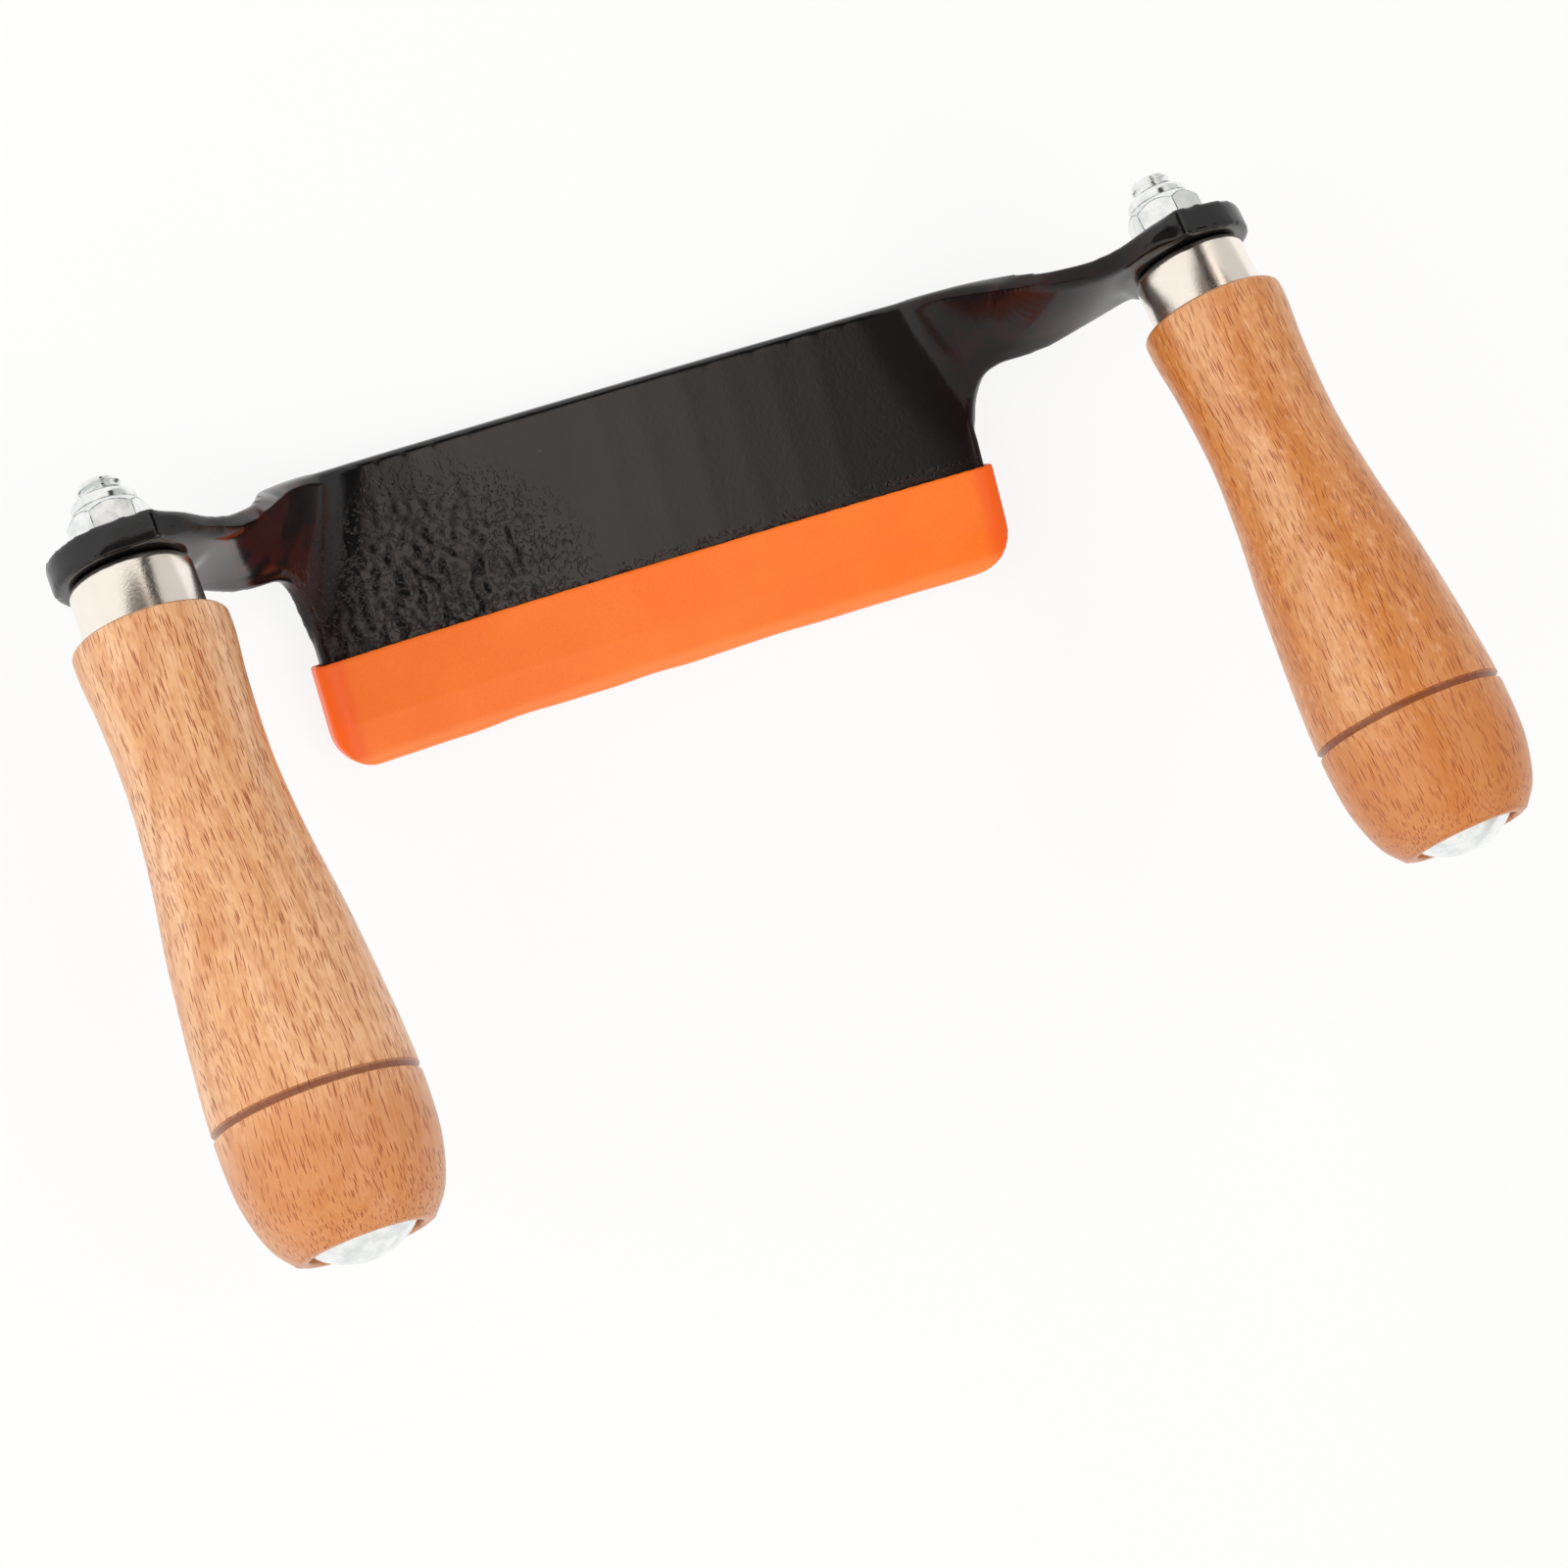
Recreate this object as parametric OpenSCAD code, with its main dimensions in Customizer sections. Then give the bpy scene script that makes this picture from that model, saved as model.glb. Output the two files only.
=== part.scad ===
// Curved drawknife: a bowed, forged blade whose twisted tangs rise to two eyes,
// through-bolted beech handles with ferrules, and a dipped edge guard.
// X runs along the blade, -Y is the way the knife is pulled, +Z is up from the bench it lies on.

/* [Blade] */
// Length of the blade along its bow
blade_len = 140.6; // [110:0.1:180]
// Width of the blade from its back to its cutting edge
blade_w = 54; // [44:0.5:70]
// Thickness of the blade plate
plate_t = 4.5; // [3.5:0.1:6]
// Radius of the bow that the blade is bent to
bow_r = 450; // [300:10:900]
// Width of the ground bevel on the concave face
bevel_w = 11; // [6:0.5:16]
// Thickness left at the cutting edge
edge_t = 0.3; // [0.1:0.1:0.8]
// Rounding of the blade's lower corners
corner_r = 7; // [3:0.5:10]
// Rounding of the blade's long back edge
back_r = 1.2; // [0.6:0.1:1.6]

/* [Tangs] */
// Distance between the two bolts where they pass through the ferrules' tops
bolt_gap = 209.6; // [190:0.1:260]
// Height of the ferrules' tops above the middle of the blade plate
tang_rise = 45.3; // [36:0.1:60]
// How far the ferrules' tops lie in front of the blade's back edge
seat_setback = 7.4; // [4:0.1:12]
// Width of the tang where it leaves the blade, measured down from the back edge
tang_root_w = 30; // [26:0.5:34]
// Thickness of the tang
tang_t = 4.3; // [3.5:0.1:6]
// Rounding of the tang's four edges
tang_round = 1.1; // [0.6:0.1:1.5]
// Thickness of the flattened eye
eye_t = 5.6; // [4:0.1:7]
// Radius of the eye's outer end
eye_r = 13.2; // [12.5:0.1:18]
// Distance from the bolt in to the eye's squared shoulders
shoulder_in = 5; // [3:0.1:8]
// How far the shoulders stand out beyond the eye's radius
shoulder_out = 0.8; // [0:0.1:2]
// Rounding of the shoulders' corners
shoulder_round = 1.2; // [0.6:0.1:3]
// Clearance of the bolt in the eye
eye_clear = 0.25; // [0.1:0.05:0.5]

/* [Handles] */
// Tilt of the handles above the plane of the blade, in degrees
handle_tilt = 24; // [15:0.5:35]
// Splay of each handle away from the middle, in degrees
handle_splay = 1; // [0:0.5:6]
// Length of the wood below the ferrule
wood_len = 111.2; // [90:0.1:140]
// Radius of the wood at the ferrule
collar_r = 13.9; // [13.4:0.1:17]
// Rounding of the wood's edge at the ferrule
collar_round = 1.2; // [0.6:0.1:1.8]
// Radius of the wood at its waist
waist_r = 12.7; // [12:0.1:16]
// Radius of the wood at its swell
swell_r = 18; // [16:0.1:21]
// Radius of the flat end of the wood
end_r = 11.8; // [11.2:0.1:14]
// Depth of the burnt groove round the swell
groove_d = 0.6; // [0.3:0.1:1.5]
// Width of the burnt groove
groove_w = 1.4; // [0.8:0.1:3]
// Chamfer on the tenon's top
tenon_chamfer = 0.5; // [0.2:0.1:1]

/* [Ferrules] */
// Outer radius of the ferrule
ferrule_r = 11; // [10:0.1:12.5]
// Sheet thickness of the ferrule
ferrule_t = 0.8; // [0.5:0.1:1.2]
// Length of the ferrule's straight side
ferrule_len = 9.4; // [7:0.1:16]
// Radius of the ferrule's rounded shoulder
ferrule_round = 1.7; // [1.3:0.1:2.4]
// Clearance of the wooden tenon in the ferrule
tenon_clear = 0.05; // [0.02:0.01:0.2]

/* [Fasteners] */
// Radius of the bolt's shank
bolt_r = 4; // [3:0.5:5]
// Clearance of the shank in the wood
wood_clear = 0.25; // [0.1:0.05:0.5]
// Radius of the bolt's domed head
head_r = 9; // [8:0.1:9.5]
// Height of the bolt's dome
head_h = 3.6; // [2.5:0.1:5]
// Height of the straight rim under the dome
head_rim = 0.4; // [0.2:0.1:1]
// Depth of the head's seat below the end of the wood
head_sink = 1.2; // [0.5:0.1:2.5]
// Gap between the head and the wall of its seat
head_clear = 0.8; // [0.3:0.1:1.2]
// Depth of the square neck under the head
neck_h = 4.5; // [3:0.5:6]
// Length of thread that stands out of the nut
thread_out = 3; // [1:0.5:6]
// Chamfer on the bolt's tip
tip_chamfer = 0.8; // [0.4:0.1:1.2]
// Distance across the flats of the nut
nut_af = 13; // [12.5:0.5:16]
// Height of the nut's hexagon
nut_h = 6.2; // [5:0.1:8]
// Chamfer on the hexagon's corners
nut_chamfer = 0.9; // [0.4:0.1:1.4]
// Height of the round collar above the hexagon
nut_collar_h = 3; // [2.8:0.1:4]
// Outer radius of the nut's collar
nut_collar_r = 5.9; // [5.6:0.1:6.2]
// Rounding of the collar's outer edge
nut_collar_round = 1.4; // [0.6:0.1:1.8]
// Angles at which the left and the right nut came to rest, in degrees
nut_turn = [0, 36]; // [0:1:59]
// Thickness of the nylon ring
insert_h = 2.2; // [1.5:0.1:2.4]
// Width of the nylon ring from its bore to its rim
insert_w = 1.15; // [0.8:0.05:1.2]
// Depth of the nylon ring below the collar's rim
insert_sink = 0.5; // [0.2:0.1:0.6]
// Clearance of the thread in the nut
thread_clear = 0.05; // [0.02:0.01:0.1]

/* [Edge guard] */
// Depth of the guard from its rim to its lower edge
guard_depth = 21; // [14:0.1:30]
// Wall of the guard along its faces and ends
guard_wall = 0.9; // [0.6:0.1:2]
// Thickness of the guard below the cutting edge
guard_toe = 1.9; // [1:0.1:4]
// Rounding of the guard's rim
guard_rim = 0.3; // [0.1:0.1:0.5]
// Height over which the guard's lower face draws in with the bevel
guard_taper_h = 9; // [5:0.5:12]
// How far the guard's lower face draws in
guard_taper = 1.2; // [0.4:0.1:1.4]
// Rounding along the guard's lower edge
guard_round = 1.5; // [0.6:0.1:2]
// Clearance between the guard and the steel
guard_clear = 0.2; // [0.1:0.05:0.5]
// Clearance between the guard and each end of the blade
guard_end_clear = 0.5; // [0.2:0.1:1]

/* [Hidden] */

half_len = blade_len / 2;
half_angle = half_len / bow_r * 180 / PI;
end_x = bow_r * sin(half_angle);
end_z = bow_r * (1 - cos(half_angle));
eye_seat = ferrule_round;
eye_mid = eye_seat + eye_t / 2;
eye_top = eye_seat + eye_t;
nut_top = eye_top + nut_h + nut_collar_h;
ring_top = nut_h + nut_collar_h - insert_sink;
wood_end = ferrule_len + wood_len;
head_seat = wood_end - head_sink;
tenon_top = ferrule_t - ferrule_round + 0.3;
swell_at = ferrule_len + 0.78 * wood_len;
groove_round = (groove_w * groove_w / 4 + groove_d * groove_d) / (2 * groove_d);
guard_low = -blade_w - guard_toe - guard_clear;
guard_top = guard_low + guard_depth;
guard_half_t = plate_t / 2 + guard_clear + guard_wall;
slant = 90 - handle_tilt;
// Room that a cutter takes past the faces it cuts
over = 5;

// Wooden profile as [share of the wood's length, radius]
profile_knots = [[0, collar_r], [0.045, collar_r - 0.05], [0.125, waist_r + 0.35], [0.25, waist_r],
                 [0.375, waist_r + 1.05], [0.5, (waist_r + swell_r) / 2 + 0.225],
                 [0.625, swell_r - 1.05], [0.75, swell_r - 0.05], [0.84, swell_r - 0.05],
                 [0.9, swell_r - 0.8], [0.96, swell_r - 2.9], [1, end_r]];

// A point between b and c on a smooth curve, with neighbours a and d
function smooth_point(a, b, c, d, u) =
    0.5 * (2 * b + (c - a) * u + (2 * a - 5 * b + 4 * c - d) * u * u
           + (3 * b - a - 3 * c + d) * u * u * u);

// A smooth curve through the points p, with n steps between two of them
function smooth_curve(p, n) =
    let (last = len(p) - 1, q = concat([2 * p[0] - p[1]], p, [2 * p[last] - p[last - 1]]))
    concat([for (i = [1 : last], k = [0 : n - 1]) smooth_point(q[i - 1], q[i], q[i + 1], q[i + 2], k / n)],
           [p[last]]);

// Points of an arc about a centre, from angle a to angle b
function arc(centre, r, a, b, step) =
    [for (t = [a : step : b]) centre + r * [cos(t), sin(t)]];

// The wooden profile as [radius, distance below the ferrule's top]
wood_curve = [for (k = smooth_curve(profile_knots, 4)) [k[1], ferrule_len + k[0] * wood_len]];

// The origin is the middle of the part's box on the bench
lean = cos(handle_tilt) * cos(handle_splay);
rise = sqrt(1 - lean * lean);
far_y = seat_setback + max([for (k = wood_curve) k[1] * lean + k[0] * rise]);
near_y = -seat_setback + (nut_top + thread_out) * lean + (bolt_r - tip_chamfer) * rise;
centre_y = (near_y - far_y) / 2;
bench_z = -guard_half_t;

// Places its children at a handle's ferrule top, with +Z running down the handle
module at_handle(side)
    translate([side * bolt_gap / 2, -seat_setback - centre_y, tang_rise - bench_z])
        rotate([slant, 0, 0])
            rotate([0, side * handle_splay, 0]) children();

// A point in the middle of an eye's thickness, in the blade's axes:
// p runs in towards the middle of the knife, q up the eye
function eye_point(p, q) =
    let (dx = -p * cos(handle_splay) - eye_mid * sin(handle_splay),
         dz = p * sin(handle_splay) - eye_mid * cos(handle_splay))
    [bolt_gap / 2 + dx,
     q * cos(slant) - dz * sin(slant) - seat_setback,
     q * sin(slant) + dz * cos(slant) + tang_rise];

// A point of the bow: distance s along it, y across it
function bow_point(s, y) =
    let (a = s / bow_r * 180 / PI) [bow_r * sin(a), y, bow_r * (1 - cos(a))];

// A point between the blade's end and the eye: shares of the way out and of the way up
function tang_point(out, y, up) =
    [end_x + out * (bolt_gap / 2 - end_x), y, end_z + up * (tang_rise - end_z)];

// The two long edges of a tang, from inside the blade to inside the eye
front_edge = smooth_curve([
    bow_point(half_len * 0.77, -0.3), bow_point(half_len * 0.86, 0), tang_point(-0.14, 0.3, 0.07),
    tang_point(0, 0.4, 0.24), tang_point(0.1, 0, 0.45), tang_point(0.16, -0.7, 0.65),
    tang_point(0.255, -1.9, 0.83), tang_point(0.39, -2.2, 0.98), tang_point(0.55, -1.1, 1.12),
    eye_point(9, eye_r - 0.6), eye_point(1, eye_r - 0.2)], 5);
rear_edge = smooth_curve([
    bow_point(half_len - 0.4, -tang_root_w - 6), bow_point(half_len - 0.2, -tang_root_w),
    tang_point(0.02, -tang_root_w + 7, 0.05), tang_point(0.07, -18.5, 0.11), tang_point(0.165, -16.3, 0.17),
    tang_point(0.29, -15.6, 0.24), tang_point(0.43, -14.6, 0.325), tang_point(0.57, -12.6, 0.415),
    tang_point(0.7, -10.9, 0.49), eye_point(4, -eye_r + 0.6), eye_point(-3, -eye_r + 1.6)], 5);

// Unit vector along v
function unit(v) = v / norm(v);

// Normal of the tang's plate at step i
function tang_normal(i) =
    let (last = len(front_edge) - 1, a = max(i - 1, 0), b = min(i + 1, last),
         along = front_edge[b] - front_edge[a] + rear_edge[b] - rear_edge[a])
    unit(cross(front_edge[i] - rear_edge[i], along));

// Outline of a bar's section: half width w, half thickness h, corners rounded by r
function bar_section(w, h, r) =
    [for (c = [0 : 3], k = [0 : 2])
        let (a = c * 90 + k * 45,
             sx = (c == 0 || c == 3) ? 1 : -1,
             sy = (c < 2) ? 1 : -1)
        [sx * (w - r) + r * cos(a), sy * (h - r) + r * sin(a)]];

// The tang's section at step i, in the blade's axes
function tang_ring(i, side) =
    let (middle = (front_edge[i] + rear_edge[i]) / 2,
         across = unit(front_edge[i] - rear_edge[i]),
         w = norm(front_edge[i] - rear_edge[i]) / 2,
         n = tang_normal(i))
    [for (q = bar_section(w, tang_t / 2, tang_round))
        let (p = middle + q[0] * across + q[1] * n)
        [side * p[0], p[1], p[2]]];

// One tang as a loft of rounded sections between its front and rear edges
module tang_loft(side) {
    last = len(front_edge) - 1;
    rings = [for (i = [0 : last]) tang_ring(i, side)];
    m = len(rings[0]);
    points = [for (ring = rings, p = ring) p];
    walls = [for (i = [0 : last - 1], k = [0 : m - 1])
        let (a = i * m + k, b = i * m + (k + 1) % m, c = a + m, d = b + m)
        each (side > 0 ? [[a, b, d], [a, d, c]] : [[a, d, b], [a, c, d]])];
    first_cap = [for (k = [0 : m - 1]) side > 0 ? m - 1 - k : k];
    last_cap = [for (k = [0 : m - 1]) last * m + (side > 0 ? k : m - 1 - k)];
    polyhedron(points, concat(walls, [first_cap, last_cap]), convexity = 6);
}

// Section of the blade across its width, as [distance from the bow's centre line, y]
module blade_section() {
    h = plate_t / 2;
    polygon(concat(
        arc([h - back_r, -back_r], back_r, 0, 90, 30),
        arc([back_r - h, -back_r], back_r, 90, 180, 30),
        [[-h, bevel_w - blade_w], [h - edge_t, -blade_w], [h, -blade_w]]));
}

// A section swept along the blade's bow, out to the distance s on each side
module swept_on_bow(s) {
    a = s / bow_r * 180 / PI;
    translate([0, 0, bow_r]) rotate([90, 0, 0]) mirror([0, 0, 1])
        rotate([0, 0, -90 - a]) rotate_extrude(angle = 2 * a, $fn = 96) translate([bow_r, 0]) children();
}

// An outline seen from above, raised into a block that spans the whole bow
module through_bow()
    translate([0, 0, -2 * over]) linear_extrude(height = end_z + plate_t + 6 * over) children();

// Outline of the blade seen from above, without the corners that turn up into the tangs
module blade_outline() {
    union() {
        polygon([[-end_x, -tang_root_w], [-end_x * 0.86, 1], [end_x * 0.86, 1], [end_x, -tang_root_w],
                 [end_x, corner_r - blade_w], [end_x - corner_r, -blade_w - 1],
                 [corner_r - end_x, -blade_w - 1], [-end_x, corner_r - blade_w]]);
        for (side = [-1, 1])
            translate([side * (end_x - corner_r), corner_r - blade_w]) circle(corner_r, $fn = 48);
    }
}

// Outline of one eye in the handle's own axes, with its squared inner shoulders
module eye_outline(side) {
    hull() {
        circle(eye_r, $fn = 64);
        for (q = [-1, 1])
            translate([-side * shoulder_in, q * (eye_r + shoulder_out - shoulder_round)])
                circle(shoulder_round, $fn = 24);
    }
}

module blade() {
    color("#1b1b1d") difference() {
        union() {
            translate([0, -centre_y, -bench_z]) {
                intersection() {
                    swept_on_bow(half_len) blade_section();
                    through_bow() blade_outline();
                }
                for (side = [-1, 1]) tang_loft(side);
            }
            for (side = [-1, 1]) at_handle(side)
                translate([0, 0, -eye_top]) linear_extrude(height = eye_t) eye_outline(side);
        }
        for (side = [-1, 1]) at_handle(side)
            translate([0, 0, -eye_top - over])
                cylinder(r = bolt_r + eye_clear, h = eye_t + 2 * over, $fn = 48);
    }
}

// Section of the guard: a rounded rim, straight sides, and a lower edge that draws in with the bevel
module guard_section() {
    h = guard_half_t;
    polygon(concat(
        [[h - guard_rim, guard_top], [guard_rim - h, guard_top], [-h, guard_top - guard_rim],
         [-h, guard_low + guard_taper_h]],
        arc([guard_taper + guard_round - h, guard_low + guard_round], guard_round, 180, 270, 30),
        arc([h - guard_round, guard_low + guard_round], guard_round, 270, 360, 30),
        [[h, guard_top - guard_rim]]));
}

// The space that the steel takes inside the guard
module guard_cavity_section() {
    h = plate_t / 2 + guard_clear;
    polygon([[h, guard_top + over], [-h, guard_top + over], [-h, bevel_w - blade_w],
             [h - edge_t - 2 * guard_clear, -blade_w - guard_clear], [h, -blade_w - guard_clear]]);
}

// Outline of the guard or of its cavity seen from above, grown past the blade's ends and below its edge
module guard_outline(grow, low) {
    x = end_x + grow;
    r = corner_r + grow;
    hull() {
        for (side = [-1, 1]) translate([side * (x - r), low + r]) circle(r, $fn = 48);
        translate([-x, 0]) square([2 * x, 1]);
    }
}

module edge_guard() {
    grow = guard_end_clear + guard_wall;
    color("#f9742e") translate([0, -centre_y, -bench_z]) difference() {
        intersection() {
            swept_on_bow(half_len + grow + over) guard_section();
            through_bow() guard_outline(grow, guard_low);
        }
        intersection() {
            swept_on_bow(half_len + guard_end_clear + over) guard_cavity_section();
            through_bow() guard_outline(guard_end_clear, -blade_w - guard_clear);
        }
    }
}

// Turned handle: tenon, swelling grip with a burnt groove, seat for the bolt's head
module handle(side) {
    tenon_r = ferrule_r - ferrule_t - tenon_clear;
    seat_r = head_r + head_clear;
    lip = 0.3;
    neck = 2 * (bolt_r + wood_clear);
    color("#d58d4e") at_handle(side) difference() {
        rotate_extrude($fn = 96) difference() {
            polygon(concat(
                [[0, tenon_top], [tenon_r - tenon_chamfer, tenon_top], [tenon_r, tenon_top + tenon_chamfer],
                 [tenon_r, ferrule_len]],
                arc([collar_r - collar_round, ferrule_len + collar_round], collar_round, -90, 0, 22.5),
                [for (k = wood_curve) if (k[1] > ferrule_len + 2 * collar_round) k],
                [[seat_r + 2 * lip, wood_end + lip], [seat_r, wood_end - lip],
                 [seat_r, head_seat], [0, head_seat]]));
            translate([swell_r - groove_d + groove_round, swell_at]) circle(groove_round, $fn = 48);
        }
        translate([0, 0, tenon_top - 1]) cylinder(r = bolt_r + wood_clear, h = wood_end + over, $fn = 48);
        translate([0, 0, head_seat - neck_h / 2]) cube([neck, neck, neck_h + wood_clear], center = true);
    }
}

// Pressed ferrule: a cup with a rounded shoulder and a hole for the bolt
module ferrule(side) {
    inner_r = ferrule_r - ferrule_t;
    inner_top = ferrule_t - ferrule_round;
    hole_r = bolt_r + eye_clear;
    shoulder = ferrule_r - ferrule_round;
    color("#c9c6bd") at_handle(side) rotate_extrude($fn = 96)
        polygon(concat(
            arc([shoulder, 0], ferrule_round, -90, 0, 18),
            [[ferrule_r, ferrule_len], [inner_r, ferrule_len]],
            [for (a = [0 : -30 : -90]) [shoulder, 0] + (ferrule_round - ferrule_t) * [cos(a), sin(a)]],
            [[hole_r, inner_top], [hole_r, -ferrule_round]]));
}

// Coach bolt: domed head, square neck, shank that ends in a short chamfer
module bolt(side) {
    dome_r = (head_r * head_r + head_h * head_h) / (2 * head_h);
    dome_z = head_seat + head_rim + head_h - dome_r;
    tip = -nut_top - thread_out;
    color("#d4d6d8") at_handle(side) union() {
        rotate_extrude($fn = 96) polygon(concat(
            [[0, tip], [bolt_r - tip_chamfer, tip], [bolt_r, tip + tip_chamfer], [bolt_r, head_seat],
             [head_r, head_seat]],
            [for (k = [0 : 8]) let (x = head_r * (1 - k / 8)) [x, dome_z + sqrt(dome_r * dome_r - x * x)]]));
        translate([0, 0, head_seat - neck_h / 2]) cube([2 * bolt_r, 2 * bolt_r, neck_h], center = true);
    }
}

// Places its children on an eye's outer face, with +Z away from the handle
module on_eye(side)
    at_handle(side) translate([0, 0, -eye_top]) mirror([0, 0, 1]) children();

// Self-locking nut: chamfered hexagon with a rounded collar, which holds a nylon ring
module nut(side) {
    corner = nut_af / 2 / cos(30);
    flat = nut_af / 2;
    collar = [nut_collar_r - nut_collar_round, nut_h + nut_collar_h - nut_collar_round];
    color("#dadcdd") on_eye(side) difference() {
        union() {
            intersection() {
                rotate([0, 0, nut_turn[side < 0 ? 0 : 1]])
                    linear_extrude(height = nut_h) circle(corner, $fn = 6);
                rotate_extrude($fn = 96)
                    polygon([[0, 0], [flat, 0], [corner + 0.1, nut_chamfer],
                             [corner + 0.1, nut_h - nut_chamfer], [flat, nut_h], [0, nut_h]]);
            }
            rotate_extrude($fn = 96)
                polygon(concat([[0, nut_h / 2], [nut_collar_r, nut_h / 2]],
                    arc(collar, nut_collar_round, 0, 90, 22.5),
                    [[0, nut_h + nut_collar_h]]));
        }
        translate([0, 0, -1]) cylinder(r = bolt_r + thread_clear, h = nut_h + 2, $fn = 48);
        translate([0, 0, ring_top - insert_h]) cylinder(r = bolt_r + insert_w, h = insert_h + 1, $fn = 48);
    }
}

module nut_ring(side) {
    color("#e8ecef") on_eye(side) translate([0, 0, ring_top - insert_h]) difference() {
        cylinder(r = bolt_r + insert_w, h = insert_h, $fn = 48);
        translate([0, 0, -1]) cylinder(r = bolt_r + thread_clear, h = insert_h + 2, $fn = 48);
    }
}

blade();
edge_guard();
handle(-1);  // left_handle
handle(1);  // right_handle
ferrule(-1);  // left_ferrule
ferrule(1);  // right_ferrule
bolt(-1);  // left_bolt
bolt(1);  // right_bolt
nut(-1);  // left_nut
nut(1);  // right_nut
nut_ring(-1);  // left_nut_ring
nut_ring(1);  // right_nut_ring
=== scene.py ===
import math

import bmesh
import bpy
import numpy as np
from mathutils import Matrix, Vector, noise
from mathutils.bvhtree import BVHTree


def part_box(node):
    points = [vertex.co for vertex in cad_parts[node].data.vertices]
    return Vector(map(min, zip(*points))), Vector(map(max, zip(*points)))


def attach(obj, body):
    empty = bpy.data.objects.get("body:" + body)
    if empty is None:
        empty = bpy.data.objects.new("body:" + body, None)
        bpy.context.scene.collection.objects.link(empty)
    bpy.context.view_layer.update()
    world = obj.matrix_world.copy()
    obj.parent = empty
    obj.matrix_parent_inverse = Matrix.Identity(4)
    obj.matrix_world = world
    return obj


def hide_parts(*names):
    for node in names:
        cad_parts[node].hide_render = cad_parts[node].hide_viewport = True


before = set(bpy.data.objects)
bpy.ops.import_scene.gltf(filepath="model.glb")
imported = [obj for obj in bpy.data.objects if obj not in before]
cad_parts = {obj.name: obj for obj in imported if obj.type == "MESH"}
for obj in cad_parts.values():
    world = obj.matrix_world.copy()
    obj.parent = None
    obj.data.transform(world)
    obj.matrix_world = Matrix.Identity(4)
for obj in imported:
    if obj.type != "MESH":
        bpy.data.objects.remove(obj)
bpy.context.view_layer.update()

mm = 0.001

# The view of the photograph: a short telephoto lens that looks down on the knife from above its left hand.
# The picture is square and the lens isn't shifted. Its place is measured from the blade's back edge,
# which lies 35.1 mm above the rim of the edge guard.
back_above_rim = 35.1
plate_back_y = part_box("edge_guard")[1][1] / mm + back_above_rim

camera_data = bpy.data.cameras.new("camera")
camera_data.sensor_width = 36
camera_data.lens = 75.14
camera = bpy.data.objects.new("camera", camera_data)
camera.location = (-184.8 * mm, (plate_back_y + 30.24) * mm, 614.6 * mm)
camera.rotation_euler = [math.radians(angle) for angle in (-4.909, -20.017, -16.159)]
bpy.context.scene.collection.objects.link(camera)
bpy.context.scene.camera = camera
bpy.context.scene.view_settings.view_transform = "Standard"


# The table: a sheet of matt white card, larger than any view of the knife needs.
# It takes the knife's soft shadow, and both the lens and the bright metal see it as clean white.
def paint(code):
    """An sRGB hex colour as the linear colour that a shader takes."""
    channels = [int(code[i:i + 2], 16) / 255 for i in (1, 3, 5)]
    return [c / 12.92 if c < 0.04045 else ((c + 0.055) / 1.055) ** 2.4 for c in channels] + [1]


def add(tree, kind, inputs=None, **settings):
    """Adds one node with its settings, and fills its sockets with values or with links."""
    node = tree.nodes.new(kind)
    for name, value in settings.items():
        setattr(node, name, value)
    for name, value in (inputs or {}).items():
        if isinstance(value, bpy.types.NodeSocket):
            tree.links.new(value, node.inputs[name])
        else:
            node.inputs[name].default_value = value
    return node


def new_material(name):
    """An empty material and its node tree."""
    material = bpy.data.materials.new(name)
    material.use_nodes = True
    material.node_tree.nodes.clear()
    return material, material.node_tree


def piece(shape, name, material, sharp=40):
    """Turns a finished bmesh, in metres, into an object with smooth faces and crisp corners."""
    mesh = bpy.data.meshes.new(name)
    shape.to_mesh(mesh)
    shape.free()
    mesh.shade_smooth()
    mesh.set_sharp_from_angle(angle=math.radians(sharp))
    mesh.materials.append(material)
    thing = bpy.data.objects.new(name, mesh)
    bpy.context.scene.collection.objects.link(thing)
    return thing


card_glow = 0.84

card, tree = new_material("matt_white_card")
rays = add(tree, "ShaderNodeLightPath")
seen = add(tree, "ShaderNodeMath", {0: rays.outputs["Is Camera Ray"], 1: rays.outputs["Is Glossy Ray"]},
           operation="MAXIMUM")
seen = add(tree, "ShaderNodeMath", {0: seen.outputs[0], 1: rays.outputs["Is Transmission Ray"]},
           operation="MAXIMUM")
shown = add(tree, "ShaderNodeMath", {0: seen.outputs[0], 1: card_glow}, operation="MULTIPLY")
lit = add(tree, "ShaderNodeBsdfDiffuse", {"Color": paint("#f4f4f4")})
glow = add(tree, "ShaderNodeEmission", {"Color": paint("#ffffff"), "Strength": 1})
both = add(tree, "ShaderNodeMixShader", {0: shown.outputs[0], 1: lit.outputs[0], 2: glow.outputs[0]})
add(tree, "ShaderNodeOutputMaterial", {"Surface": both.outputs[0]})

sheet = bmesh.new()
bmesh.ops.create_grid(sheet, x_segments=1, y_segments=1, size=3)
floor = piece(sheet, "floor", card)

# The light: white studio walls and a darker ceiling with one long soft panel, which the blade shows as its sheen.
# A small bright box in front glints in the pits of the forging, a black flag behind the knife draws the dark line
# on the ferrules, and two weak softboxes light the handles.
wall_level, right_wall_level, ceiling_level = 1.0, 0.66, 0.17
panel_level, corner_level, front_box_level = 1.5, 0.02, 1.4
panel_rises, panel_falls = np.radians((3, 21)), np.radians((24, 28))
ceiling_rim, front_box_rim = np.cos(np.radians((46, 40))), np.cos(np.radians((13, 9)))
front_box_at = Vector((0.42, -0.5, 0.76)).normalized()

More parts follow.
